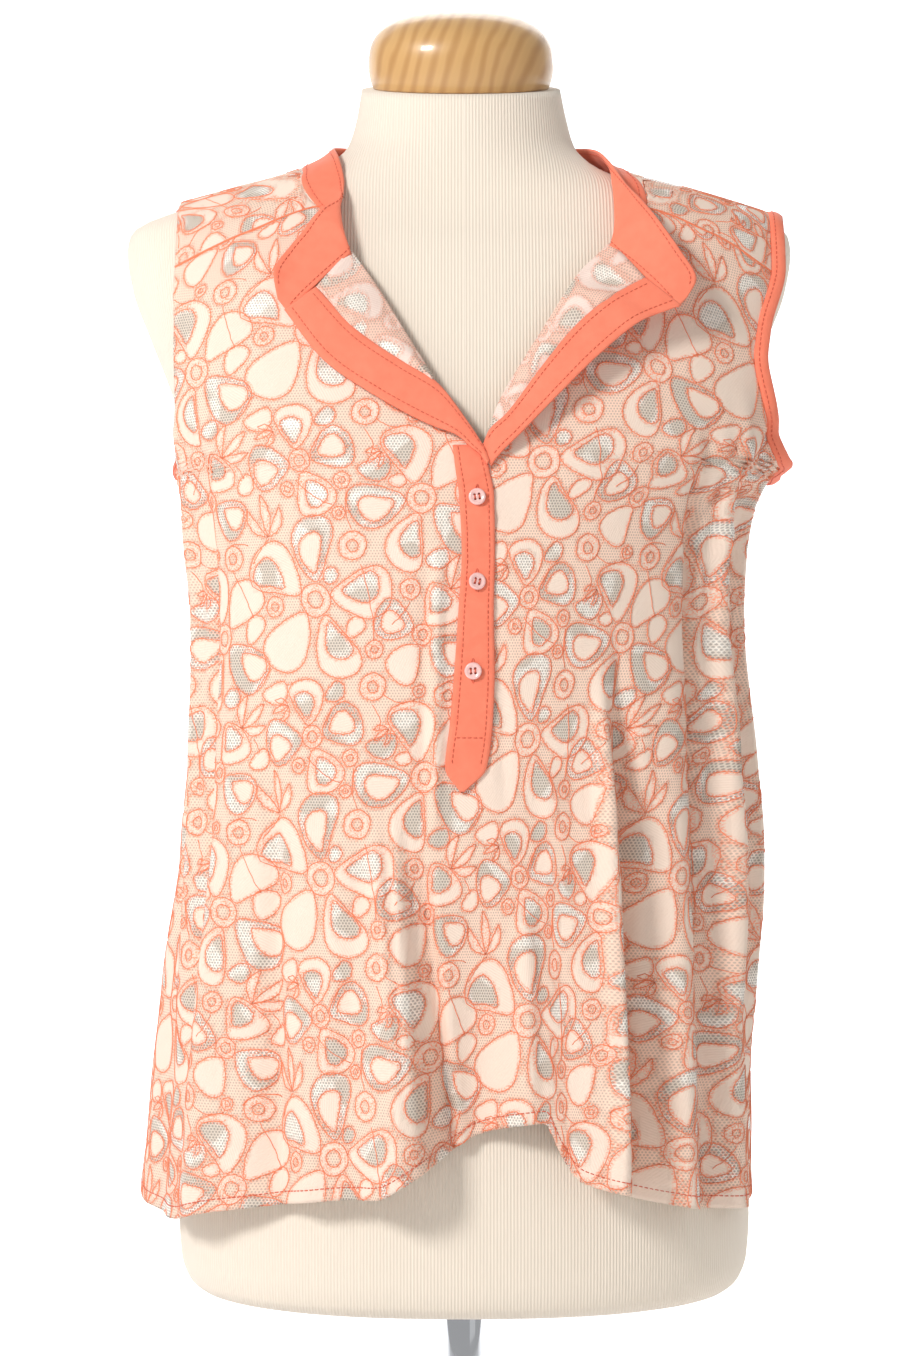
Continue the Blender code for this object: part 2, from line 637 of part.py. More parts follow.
def band_seam(place):
    """Where the band is sewn on: along the turned-back front, the neckline, and round the back."""
    side = -1 if place < 0.5 else 1
    inward = min(place, 1.0 - place)
    lapel = LEFT_LAPEL if side < 0 else RIGHT_LAPEL
    if inward < BAND_ENDS:
        share = inward / BAND_ENDS
        x = blend(read(lapel, "outer_x", 1.0), read(lapel, "roll_x", 1.0), share)
        height = blend(read(lapel, "outer_z", 1.0), read(lapel, "roll_z", 1.0), share)
        return over_front(x, height, blend(read(lapel, "outer_lift", 1.0), 2 * ROLL_LIFT, share))
    if inward < BAND_STAND:
        share = (inward - BAND_ENDS) / (BAND_STAND - BAND_ENDS)
        base = front_point(side, SEAM_START * share, 2.0)
        return base + np.array([0.0, -2 * ROLL_LIFT * (1.0 - share), 0.0])
    return neckline_point(side, (inward - BAND_STAND) / (0.5 - BAND_STAND))


def armhole_loop(side):
    """Edge of an armhole as a closed run of points: up the front, over the shoulder, down the back."""
    underarm = front_rows()[FRONT_LOW_ROWS - 1]
    edge = 0.0 if side < 0 else 1.0
    points = [front_point(side, 1.0, up) for up in front_rows() if up >= underarm]
    points += [back_point(edge, up) for up in reversed(back_rows()) if up > 1.0]
    return np.array(points)


def binding_strip(side, table):
    loop = armhole_loop(side)
    along = np.roll(loop, -1, axis=0) - np.roll(loop, 1, axis=0)
    along /= np.linalg.norm(along, axis=1, keepdims=True)
    outward = cloth_normal(loop)
    inward = np.cross(along, outward)
    flip = np.sign(np.sum(inward * (loop.mean(axis=0) - loop), axis=1, keepdims=True))
    inward *= flip / np.linalg.norm(inward, axis=1, keepdims=True)
    place = np.linspace(0.0, 1.0, len(loop), endpoint=False)[:, None]
    near = loop + inward * read(table, "near_in", place) + outward * read(table, "near_out", place)
    far = loop + inward * read(table, "far_in", place) + outward * read(table, "far_out", place)
    return np.stack([near, (near + far) / 2, far], axis=1)


# ---- objects ----
def clear_scene():
    for thing in list(bpy.data.objects):
        bpy.data.objects.remove(thing)


def new_collection(name):
    collection = bpy.data.collections.new(name)
    bpy.context.scene.collection.children.link(collection)
    return collection


def material(slot):
    made = bpy.data.materials.get(slot)
    if made is None:
        color, roughness, metallic = PALETTE[slot]
        made = bpy.data.materials.new(slot)
        made.use_nodes = True
        surface = made.node_tree.nodes["Principled BSDF"]
        surface.inputs["Base Color"].default_value = (*color, 1.0)
        surface.inputs["Roughness"].default_value = roughness
        surface.inputs["Metallic"].default_value = metallic
    return made


def add_object(collection, name, mesh, slot):
    piece = bpy.data.objects.new(name, mesh)
    collection.objects.link(piece)
    mesh.materials.clear()
    mesh.materials.append(material(slot))
    mesh.shade_smooth()
    return piece


def grid_faces(shape, start=0, wrap=False):
    rows, columns = shape
    faces = []
    for row in range(rows if wrap else rows - 1):
        for column in range(columns - 1):
            here = start + row * columns + column
            above = start + ((row + 1) % rows) * columns + column
            faces.append((here, here + 1, above + 1, above))
    return faces


def cloth_object(collection, name, grids, wall, slot, wrap=False):
    """Cloth wall through one or more grids of points, welded where their edges meet."""
    points = []
    faces = []
    for grid in grids:
        faces += grid_faces(grid.shape[:2], len(points), wrap)
        points += [tuple(point) for point in grid.reshape(-1, 3)]
    mesh = bpy.data.meshes.new(name)
    mesh.from_pydata(points, [], faces)
    work = bmesh.new()
    work.from_mesh(mesh)
    bmesh.ops.remove_doubles(work, verts=work.verts, dist=2 * WELD)
    bmesh.ops.recalc_face_normals(work, faces=work.faces)
    work.to_mesh(mesh)
    work.free()
    piece = add_object(collection, name, mesh, slot)
    solidify = piece.modifiers.new("wall", "SOLIDIFY")
    solidify.thickness = wall
    solidify.offset = 0.0
    solidify.use_quality_normals = True
    return piece


def turned_object(collection, name, profile, slot, facets):
    """Turned solid from a profile of (radius, height) points, given from the top down its outer side."""
    mesh = bpy.data.meshes.new(name)
    points = [(radius, 0.0, height) for radius, height in profile]
    mesh.from_pydata(points, [(k, k + 1) for k in range(len(points) - 1)], [])
    piece = add_object(collection, name, mesh, slot)
    screw = piece.modifiers.new("turn", "SCREW")
    screw.steps = facets
    screw.render_steps = facets
    screw.use_merge_vertices = True
    screw.merge_threshold = WELD
    return piece


def cut(piece, cutter):
    boolean = piece.modifiers.new("cut", "BOOLEAN")
    boolean.operation = "DIFFERENCE"
    boolean.solver = "EXACT"
    boolean.object = cutter
    cutter.hide_render = True
    cutter.display_type = "WIRE"


# ---- dress form ----
def make_torso(collection, cutters):
    """Torso through its rings; near the neck the rings lean down to the front."""
    heights = [row[0] for row in TORSO_RINGS[1]]
    turns = np.linspace(0.0, 360.0, TORSO_FACETS, endpoint=False)
    points = []
    faces = []
    for height in heights:
        ring = ring_point(TORSO_RINGS, turns, height)
        lean = math.tan(math.radians(NECK_SLANT)) * smooth_step((height - NECK_BEND) / (NECK_TOP - NECK_BEND))
        ring[:, 2] += lean * ring[:, 1]
        points += [tuple(point) for point in ring]
    for row in range(len(heights) - 1):
        for facet in range(TORSO_FACETS):
            here = row * TORSO_FACETS + facet
            beside = row * TORSO_FACETS + (facet + 1) % TORSO_FACETS
            faces.append((here, beside, beside + TORSO_FACETS, here + TORSO_FACETS))
    faces.append(tuple(reversed(range(TORSO_FACETS))))
    faces.append(tuple(range(len(points) - TORSO_FACETS, len(points))))
    mesh = bpy.data.meshes.new("form_torso")
    mesh.from_pydata(points, [], faces)
    torso = add_object(collection, "form_torso", mesh, "jersey")
    bpy.ops.mesh.primitive_cylinder_add(
        vertices=POLE_FACETS,
        radius=POLE_RADIUS + LAYER_GAP,
        depth=2 * POLE_SOCKET,
        location=(0.0, 0.0, TORSO_UNDERSIDE),
    )
    socket = bpy.context.object
    socket.name = "pole_socket"
    for owner in list(socket.users_collection):
        owner.objects.unlink(socket)
    cutters.objects.link(socket)
    cut(torso, socket)


def make_neck_cap(collection):
    """Domed wooden cap, flattened front to back, leaning with the neck's top."""
    profile = []
    for step in np.linspace(math.pi / 2, 0.0, CAP_ARC_POINTS):
        radius = CAP_RADIUS * math.cos(step) ** (2.0 / CAP_SQUARENESS)
        rise = (CAP_HEIGHT - CAP_BELLY) * math.sin(step) ** (2.0 / CAP_SQUARENESS)
        profile.append((radius, CAP_BELLY + rise))
    profile += CAP_UNDERSIDE
    cap = turned_object(collection, "form_neck_cap", profile, "lacquered_wood", CAP_FACETS)
    centre = (ring_point(TORSO_RINGS, 0.0, NECK_TOP) + ring_point(TORSO_RINGS, 180.0, NECK_TOP)) / 2
    slant = math.radians(NECK_SLANT)
    lift = LAYER_GAP / math.cos(slant) + centre[1] * math.tan(slant)
    cap.data.transform(Matrix.Diagonal((1.0, CAP_FLATTENING, 1.0, 1.0)))
    cap.location = (CAP_X, centre[1], NECK_TOP + lift)
    cap.rotation_euler = (slant, 0.0, 0.0)


def make_stand(collection):
    """Straight pole into the torso's socket, on a shallow round foot."""
    turned_object(collection, "form_foot", FOOT_PROFILE, "steel", FOOT_FACETS)
    low = FOOT_HUB_HEIGHT + LAYER_GAP
    high = TORSO_UNDERSIDE + POLE_SOCKET - LAYER_GAP
    pole = [(0.0, high), (POLE_RADIUS, high), (POLE_RADIUS, low), (0.0, low)]
    turned_object(collection, "form_pole", pole, "chrome", POLE_FACETS)


# ---- blouse ----
def make_front(collection):
    halves = []
    across = 1.0 - np.linspace(0.0, 1.0, FRONT_COLUMNS)
    for side in (-1, 1):
        columns = across if side < 0 else across[::-1]
        halves.append(np.array([[front_point(side, u, v) for u in columns] for v in front_rows()]))
    cloth_object(collection, "front_lace", halves, LACE_WALL, "lace")


def make_back(collection):
    across = np.linspace(0.0, 1.0, BACK_COLUMNS)
    grid = np.array([[back_point(u, v) for u in across] for v in back_rows()])
    cloth_object(collection, "back_lace", [grid], LACE_WALL, "lace")


def make_turnbacks(collection):
    foot, rows = LEFT_TURNBACK
    left = lapel_strip(LEFT_LAPEL, "roll", "inner", foot, LAPEL_TOP, rows)
    cloth_object(collection, "front_turnback_left", [left], LACE_WALL, "lace")
    foot, rows = RIGHT_TURNBACK
    right = lapel_strip(RIGHT_LAPEL, "roll", "inner", foot, LAPEL_TOP, rows)
    cloth_object(collection, "front_turnback_right", [right], LACE_WALL, "lace")


def make_plackets(collection):
    left = lapel_strip(LEFT_LAPEL, "inner", "outer", 0.0, LAPEL_TOP, LAPEL_STRIP_ROWS)
    cloth_object(collection, "placket_left", [left], TRIM_WALL, "coral_poplin")
    right = lapel_strip(RIGHT_LAPEL, "inner", "outer", 0.0, LAPEL_TOP, LAPEL_STRIP_ROWS)
    cloth_object(collection, "placket_right", [right], TRIM_WALL, "coral_poplin")
    lift = LACE_WALL / 2 + TRIM_WALL / 2 + 2 * LAYER_GAP
    heights = [row[0] for row in PLACKET[1]]
    overlap = []
    for height in sorted(heights + PLACKET_EXTRA_ROWS):
        left_x = read(PLACKET, "left_x", height)
        right_x = read(PLACKET, "right_x", height)
        overlap.append([over_front(blend(left_x, right_x, share), height, lift) for share in (0, 0.5, 1)])
    cloth_object(collection, "placket_overlap", [np.array(overlap)], TRIM_WALL, "coral_poplin")
    underlap = []
    depth_back = lift + LAYER_GAP
    for height in np.linspace(UNDERLAP_FOOT, UNDERLAP_TOP, UNDERLAP_ROWS):
        middle = placket_middle(height)
        edges = (middle - UNDERLAP_HALF_WIDTH, middle, middle + UNDERLAP_HALF_WIDTH)
        underlap.append([over_front(x, height, -depth_back) for x in edges])
    cloth_object(collection, "placket_underlap", [np.array(underlap)], TRIM_WALL, "coral_poplin")


def make_buttons(collection):
    """Flat four-hole buttons that lie on the placket."""
    lift = LACE_WALL / 2 + TRIM_WALL + BUTTON_GAP + BUTTON_HEIGHT / 2
    for number, (x, z) in enumerate(BUTTONS[1], start=1):
        outline = bpy.data.curves.new("button_outline", "CURVE")
        outline.dimensions = "2D"
        outline.fill_mode = "BOTH"
        outline.extrude = BUTTON_HEIGHT / 2
        rings = [(0.0, 0.0, BUTTON_RADIUS, BUTTON_FACETS)]
        for a, b in ((-1, -1), (-1, 1), (1, -1), (1, 1)):
            middle = (a * BUTTON_HOLE_OFFSET, b * BUTTON_HOLE_OFFSET)
            rings.append((*middle, BUTTON_HOLE_RADIUS, BUTTON_HOLE_FACETS))
        for centre_x, centre_y, radius, count in rings:
            spline = outline.splines.new("POLY")
            spline.points.add(count - 1)
            spline.use_cyclic_u = True
            for k in range(count):
                angle = 2 * math.pi * k / count
                place = (centre_x + radius * math.cos(angle), centre_y + radius * math.sin(angle), 0.0, 1.0)
                spline.points[k].co = place
        guide = bpy.data.objects.new("button_guide", outline)
        collection.objects.link(guide)
        bpy.context.view_layer.update()
        shape = guide.evaluated_get(bpy.context.evaluated_depsgraph_get())
        mesh = bpy.data.meshes.new_from_object(shape)
        bpy.data.objects.remove(guide)
        work = bmesh.new()
        work.from_mesh(mesh)
        bmesh.ops.remove_doubles(work, verts=work.verts, dist=WELD)
        work.to_mesh(mesh)
        work.free()
        button = add_object(collection, f"button_{number}", mesh, "pearl_pink")
        button.location = over_front(x, z, lift)
        ahead = over_front(x, z + BUTTON_TILT_REACH, lift) - over_front(x, z - BUTTON_TILT_REACH, lift)
        button.rotation_euler = (math.pi / 2 - math.atan2(ahead[1], ahead[2]), 0.0, 0.0)


def make_collar(collection):
    """Band that stands at the back of the neck and rolls out to its two rounded ends."""
    rows = []
    for place in np.interp(np.linspace(0.0, 1.0, BAND_ROWS), *BAND_ROW_PACE):
        crest = np.array([read(BAND, "crest_" + axis, place) for axis in "xyz"])
        edge = np.array([read(BAND, "edge_" + axis, place) for axis in "xyz"])
        seam = band_seam(place)
        seam = seam + (crest - seam) * BAND_SEAM_STEP / np.linalg.norm(crest - seam)
        rows.append([seam, (seam + crest) / 2, crest, (crest + edge) / 2, edge])
    cloth_object(collection, "collar_band", [np.array(rows)], TRIM_WALL, "coral_poplin")


def make_bindings(collection):
    for side, table in ((-1, TUCKED_BINDING), (1, OUTWARD_BINDING)):
        name = "armhole_binding_" + side_name(side)
        cloth_object(collection, name, [binding_strip(side, table)], TRIM_WALL, "coral_poplin", wrap=True)


def main():
    clear_scene()
    pieces = new_collection("blouse_on_dress_form")
    cutters = new_collection("cutters")
    make_torso(pieces, cutters)
    make_neck_cap(pieces)
    make_stand(pieces)
    make_front(pieces)
    make_back(pieces)
    make_turnbacks(pieces)
    make_plackets(pieces)
    make_buttons(pieces)
    make_collar(pieces)
    make_bindings(pieces)


main()
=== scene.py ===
import math
from functools import partial

import bpy
import numpy as np
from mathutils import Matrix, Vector
from mathutils.bvhtree import BVHTree
from mathutils.geometry import barycentric_transform


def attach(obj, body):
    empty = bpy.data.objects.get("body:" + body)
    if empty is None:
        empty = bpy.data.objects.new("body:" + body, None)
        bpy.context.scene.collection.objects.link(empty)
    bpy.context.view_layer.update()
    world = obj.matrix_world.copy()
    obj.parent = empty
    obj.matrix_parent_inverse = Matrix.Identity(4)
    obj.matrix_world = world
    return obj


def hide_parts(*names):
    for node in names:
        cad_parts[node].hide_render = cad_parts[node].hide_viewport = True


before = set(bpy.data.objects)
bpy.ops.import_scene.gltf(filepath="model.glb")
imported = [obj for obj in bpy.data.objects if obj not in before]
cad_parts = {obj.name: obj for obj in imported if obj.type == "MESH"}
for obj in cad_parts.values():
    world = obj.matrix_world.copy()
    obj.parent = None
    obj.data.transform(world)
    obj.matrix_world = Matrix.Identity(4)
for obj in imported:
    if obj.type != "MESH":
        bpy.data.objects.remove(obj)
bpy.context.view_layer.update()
collection = bpy.context.scene.collection
print("frame loaded")

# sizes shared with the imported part
torsoRings = (
    ("height", "left", "right", "front", "back", "square"),
    [
        (0.240, 0.1470, 0.1470, 0.0950, 0.0950, 2.3),
        (0.243, 0.1570, 0.1570, 0.1050, 0.1050, 2.3),
        (0.250, 0.1645, 0.1645, 0.1125, 0.1120, 2.3),
        (0.262, 0.1685, 0.1685, 0.1165, 0.1160, 2.3),
        (0.286, 0.1700, 0.1700, 0.1180, 0.1180, 2.3),
        (0.330, 0.1650, 0.1640, 0.1160, 0.1170, 2.3),
        (0.400, 0.1530, 0.1530, 0.1060, 0.1090, 2.3),
        (0.460, 0.1370, 0.1370, 0.0940, 0.0940, 2.3),
        (0.515, 0.1260, 0.1260, 0.0870, 0.0820, 2.3),
        (0.570, 0.1310, 0.1290, 0.0920, 0.0810, 2.3),
        (0.615, 0.1410, 0.1390, 0.1070, 0.0850, 2.3),
        (0.655, 0.1510, 0.1490, 0.1210, 0.0900, 2.3),
        (0.690, 0.1580, 0.1540, 0.1190, 0.0950, 2.3),
        (0.725, 0.1630, 0.1590, 0.1120, 0.0985, 2.3),
        (0.765, 0.1720, 0.1660, 0.1030, 0.1000, 2.3),
        (0.805, 0.1870, 0.1810, 0.0920, 0.0985, 2.3),
        (0.835, 0.1980, 0.1920, 0.0820, 0.0950, 2.3),
        (0.858, 0.2015, 0.1955, 0.0720, 0.0880, 2.3),
        (0.866, 0.2005, 0.1945, 0.0670, 0.0830, 2.3),
        (0.8716, 0.1970, 0.1910, 0.0640, 0.0805, 2.3),
        (0.876, 0.1890, 0.1830, 0.0620, 0.0785, 2.3),
        (0.8845, 0.1630, 0.1570, 0.0595, 0.0740, 2.3),
        (0.891, 0.1400, 0.1340, 0.0580, 0.0720, 2.3),
        (0.897, 0.1160, 0.1100, 0.0565, 0.0705, 2.3),
        (0.9035, 0.0950, 0.0890, 0.0548, 0.0705, 2.3),
        (0.912, 0.0795, 0.0745, 0.0525, 0.0680, 2.2),
        (0.921, 0.0700, 0.0665, 0.0505, 0.0655, 2.1),
        (0.938, 0.0645, 0.0615, 0.0480, 0.0610, 2.1),
        (0.957, 0.0612, 0.0576, 0.0460, 0.0580, 2.1),
    ],
)
clothRings = (
    ("height", "left", "right", "front", "back", "square"),
    [
        (0.280, 0.1935, 0.1725, 0.1370, 0.1340, 2.3),
        (0.337, 0.1885, 0.1705, 0.1365, 0.1330, 2.3),
        (0.426, 0.1795, 0.1710, 0.1345, 0.1270, 2.3),
        (0.501, 0.1685, 0.1715, 0.1330, 0.1200, 2.3),
        (0.555, 0.1645, 0.1670, 0.1320, 0.1140, 2.35),
        (0.591, 0.1620, 0.1625, 0.1320, 0.1100, 2.4),
        (0.639, 0.1605, 0.1580, 0.1315, 0.1060, 2.4),
        (0.675, 0.1645, 0.1600, 0.1295, 0.1080, 2.4),
        (0.700, 0.1670, 0.1660, 0.1265, 0.1090, 2.45),
        (0.7168, 0.1695, 0.1755, 0.1235, 0.1100, 2.5),
        (0.732, 0.1730, 0.1890, 0.1200, 0.1110, 2.6),
        (0.760, 0.1800, 0.1930, 0.1130, 0.1115, 2.7),
        (0.785, 0.1870, 0.1940, 0.1070, 0.1110, 2.7),
        (0.805, 0.1940, 0.1980, 0.1010, 0.1095, 2.65),
        (0.835, 0.2030, 0.2005, 0.0905, 0.1050, 2.55),
        (0.858, 0.2060, 0.2000, 0.0800, 0.0970, 2.45),
        (0.868, 0.2045, 0.1985, 0.0745, 0.0905, 2.4),
        (0.8746, 0.2000, 0.1940, 0.0690, 0.0850, 2.4),
        (0.879, 0.1920, 0.1860, 0.0660, 0.0825, 2.4),
        (0.8875, 0.1660, 0.1600, 0.0635, 0.0785, 2.4),
        (0.894, 0.1430, 0.1370, 0.0620, 0.0770, 2.4),
        (0.900, 0.1190, 0.1130, 0.0605, 0.0755, 2.4),
        (0.9065, 0.0985, 0.0925, 0.0588, 0.0740, 2.4),
        (0.915, 0.0830, 0.0780, 0.0565, 0.0715, 2.4),
    ],
)
# main folds: turn at the hem and at the top, top height, depth at the hem, half width in degrees
mainFolds = [
    (-14.0, -19.0, 0.52, 0.017, 12.0),
    (4.0, 1.0, 0.52, -0.017, 13.0),
    (32.0, 29.0, 0.62, 0.012, 9.0),
    (41.5, 39.0, 0.62, -0.014, 8.0),
    (49.5, 48.0, 0.71, 0.009, 6.0),
    (58.0, 57.0, 0.71, -0.011, 6.5),
    (66.0, 65.0, 0.71, 0.008, 6.0),
    (-43.0, -46.0, 0.62, -0.010, 9.0),
    (-58.0, -60.0, 0.70, 0.007, 7.0),
    (-72.0, -72.0, 0.70, -0.005, 6.5),
    (112.0, 112.0, 0.66, -0.004, 13.0),
    (133.0, 130.0, 0.62, 0.014, 13.0),
    (157.0, 155.0, 0.64, -0.012, 13.0),
    (181.0, 178.0, 0.58, 0.013, 14.0),
    (-154.0, -157.0, 0.62, -0.011, 13.0),
    (-131.0, -133.0, 0.66, 0.012, 12.0),
    (-108.0, -109.0, 0.60, -0.009, 11.0),
]
hemLine = (
    ("turn", "height"),
    [
        (-180.0, 0.288), (-150.0, 0.285), (-115.0, 0.284), (-96.0, 0.297), (-88.0, 0.300), (-66.0, 0.294),
        (-53.0, 0.303), (-30.0, 0.3133), (-18.0, 0.3165), (-9.5, 0.3290), (-5.0, 0.3370), (4.0, 0.3490),
        (19.0, 0.3570), (22.5, 0.3400), (26.7, 0.3240), (37.0, 0.3155), (53.0, 0.3040), (64.0, 0.3000),
        (90.0, 0.2985), (120.0, 0.2930), (150.0, 0.2890), (180.0, 0.2880),
    ],
)
armholeLine = (
    ("height", "frontLeft", "frontRight", "backLeft", "backRight"),
    [
        (0.7215, 90.0, 90.0, 90.0, 90.0),
        (0.7245, 84.0, 84.5, 96.0, 95.0),
        (0.732, 77.0, 74.5, 103.0, 101.0),
        (0.747, 72.5, 71.5, 107.0, 104.0),
        (0.762, 70.5, 68.5, 110.0, 106.0),
        (0.785, 69.0, 67.0, 113.0, 108.0),
        (0.805, 68.7, 68.5, 114.0, 108.5),
        (0.835, 69.7, 73.5, 113.5, 107.0),
        (0.860, 71.8, 78.0, 112.0, 104.5),
    ],
)
frontTop = (
    ("across", "left", "right"),
    [
        (0.0, 0.8480, 0.8530), (0.10, 0.8640, 0.8670), (0.20, 0.8765, 0.8765), (0.60, 0.8610, 0.8610),
        (1.0, 0.8420, 0.8400),
    ],
)
neckline = (
    ("across", "leftTurn", "leftHeight", "rightTurn", "rightHeight"),
    [
        (0.0, 52.4, 0.8765, 59.9, 0.8765),
        (0.2, 66.4, 0.9015, 67.0, 0.8985),
        (0.4, 84.0, 0.9090, 84.0, 0.9075),
        (0.6, 106.0, 0.9110, 106.0, 0.9105),
        (0.8, 139.0, 0.9090, 139.0, 0.9085),
        (1.0, 180.0, 0.9045, 180.0, 0.9045),
    ],
)
lapelColumns = ("place", "rollX", "rollZ", "innerX", "innerZ", "outerX", "outerZ", "innerLift", "outerLift")
leftLapel = (
    lapelColumns,
    [
        (0.00, 0.0133, 0.7245, 0.0133, 0.7245, 0.0125, 0.7232, 0.0038, 0.0038),
        (0.05, 0.0113, 0.7308, 0.0113, 0.7308, 0.0088, 0.7293, 0.0040, 0.0042),
        (0.12, 0.0080, 0.7365, 0.0080, 0.7365, 0.0040, 0.7330, 0.0040, 0.0044),
        (0.25, 0.0007, 0.7479, 0.0007, 0.7479, -0.0040, 0.7400, 0.0040, 0.0045),
        (0.42, -0.0162, 0.7698, -0.0162, 0.7698, -0.0207, 0.7468, 0.0036, 0.0042),
        (0.60, -0.0314, 0.7940, -0.0342, 0.7811, -0.0534, 0.7650, 0.0036, 0.0042),
        (0.80, -0.0494, 0.8240, -0.0605, 0.7995, -0.0792, 0.7837, 0.0042, 0.0046),
        (1.00, -0.0656, 0.8480, -0.0847, 0.8257, -0.1018, 0.8132, 0.0050, 0.0050),
    ],
)
rightLapel = (
    lapelColumns,
    [
        (0.00, 0.0092, 0.7310, 0.0092, 0.7310, 0.0142, 0.7225, 0.0022, 0.0026),
        (0.06, 0.0140, 0.7425, 0.0140, 0.7425, 0.0185, 0.7285, 0.0030, 0.0044),
        (0.15, 0.0209, 0.7602, 0.0231, 0.7512, 0.0299, 0.7400, 0.0045, 0.0080),
        (0.40, 0.0340, 0.7830, 0.0453, 0.7811, 0.0535, 0.7642, 0.0070, 0.0135),
        (0.62, 0.0506, 0.8098, 0.0642, 0.8036, 0.0759, 0.7863, 0.0095, 0.0175),
        (0.82, 0.0646, 0.8326, 0.0832, 0.8194, 0.0993, 0.8050, 0.0120, 0.0205),
        (1.00, 0.0840, 0.8530, 0.1023, 0.8303, 0.1211, 0.8138, 0.0140, 0.0230),
    ],
)
bandLine = (
    ("place", "crestX", "crestY", "crestZ", "edgeX", "edgeY", "edgeZ"),
    [
        (0.00, -0.1038, -0.0955, 0.8160, -0.1058, -0.0950, 0.8185),
        (0.05, -0.1010, -0.0930, 0.8280, -0.1081, -0.0930, 0.8337),
        (0.12, -0.0915, -0.0900, 0.8395, -0.0995, -0.0850, 0.8497),
        (0.19, -0.0810, -0.0875, 0.8490, -0.0921, -0.0810, 0.8594),
        (0.25, -0.0705, -0.0850, 0.8610, -0.0868, -0.0780, 0.8676),
        (0.295, -0.0700, -0.0745, 0.8745, -0.0828, -0.0755, 0.8725),
        (0.32, -0.0712, -0.0680, 0.8800, -0.0700, -0.0640, 0.8840),
        (0.34, -0.0760, -0.0600, 0.8860, -0.0702, -0.0555, 0.8915),
        (0.37, -0.0825, -0.0425, 0.9045, -0.0740, -0.0410, 0.9085),
        (0.41, -0.0845, -0.0090, 0.9135, -0.0775, -0.0120, 0.9190),
        (0.45, -0.0725, 0.0360, 0.9165, -0.0680, 0.0280, 0.9260),
        (0.48, -0.0370, 0.0640, 0.9165, -0.0380, 0.0580, 0.9310),
        (0.50, 0.0000, 0.0720, 0.9165, 0.0000, 0.0680, 0.9320),
        (0.52, 0.0360, 0.0640, 0.9165, 0.0370, 0.0580, 0.9310),
        (0.55, 0.0700, 0.0360, 0.9165, 0.0665, 0.0280, 0.9260),
        (0.59, 0.0820, -0.0080, 0.9130, 0.0775, -0.0100, 0.9185),
        (0.63, 0.0855, -0.0420, 0.9010, 0.0845, -0.0470, 0.9050),
        (0.66, 0.0835, -0.0540, 0.8940, 0.0930, -0.0680, 0.8890),
        (0.705, 0.0840, -0.0720, 0.8750, 0.1017, -0.0830, 0.8763),
        (0.75, 0.0870, -0.0830, 0.8620, 0.1109, -0.0950, 0.8622),
        (0.85, 0.1100, -0.0985, 0.8420, 0.1217, -0.1000, 0.8455),
        (0.93, 0.1205, -0.1045, 0.8290, 0.1300, -0.1050, 0.8297),
        (1.00, 0.1235, -0.1085, 0.8165, 0.1255, -0.1080, 0.8190),
    ],
)
placketEdges = (
    ("height", "leftX", "rightX"),
    [
        (0.5409, -0.0022, -0.0010), (0.5540, -0.0103, 0.0113), (0.5800, -0.0075, 0.0148),
        (0.6100, -0.0050, 0.0158), (0.6400, -0.0030, 0.0153), (0.6730, -0.0011, 0.0160),
        (0.7050, -0.0025, 0.0156), (0.7200, -0.0045, 0.0130), (0.7340, -0.0062, 0.0090),
    ],
)
crownFoot, crownLow, crownHigh = 0.858, 0.80, 0.9149        # where the shoulder turns over, and its search
underarm, vHeight, vX, slitFoot = 0.7215, 0.7327, 0.0108, 0.548
seamStart, shoulderTurn, crownReach, neckEase = 0.20, 128.0, 0.10, 0.15
bandEnds, bandStand, rollLift = 0.25, 0.34, 0.0020          # shares of the collar's seam, and the fold's lift
neckTop, neckSlant = 0.957, 15.0
hanging = {
    "foldFoot": 0.30,                   # height where the main folds are deepest
    "foldsEnd": (0.872, 0.02),          # height without folds, and how far they fade below it
    "creaseRadius": 0.15,               # distance from the axis at which the creases' widths hold
    "creaseReach": 0.3,                 # share of a crease's length that it runs on past both ends
    "creaseStart": (-0.12, 0.35),       # share along where it begins, and how far it takes to deepen
    "creaseEnd": (1.25, 0.45),
    "ripple": (0.00035, 0.86, 0.1),     # depth, height without ripple, how far it fades below it
    "clear": 0.0022,                    # between the form and the middle of the cloth
    "slit": (0.0002, 0.128),            # half its width, and the depth at which it is measured
    "slitBend": 0.70,                   # above this height the slit leads over to the V
}

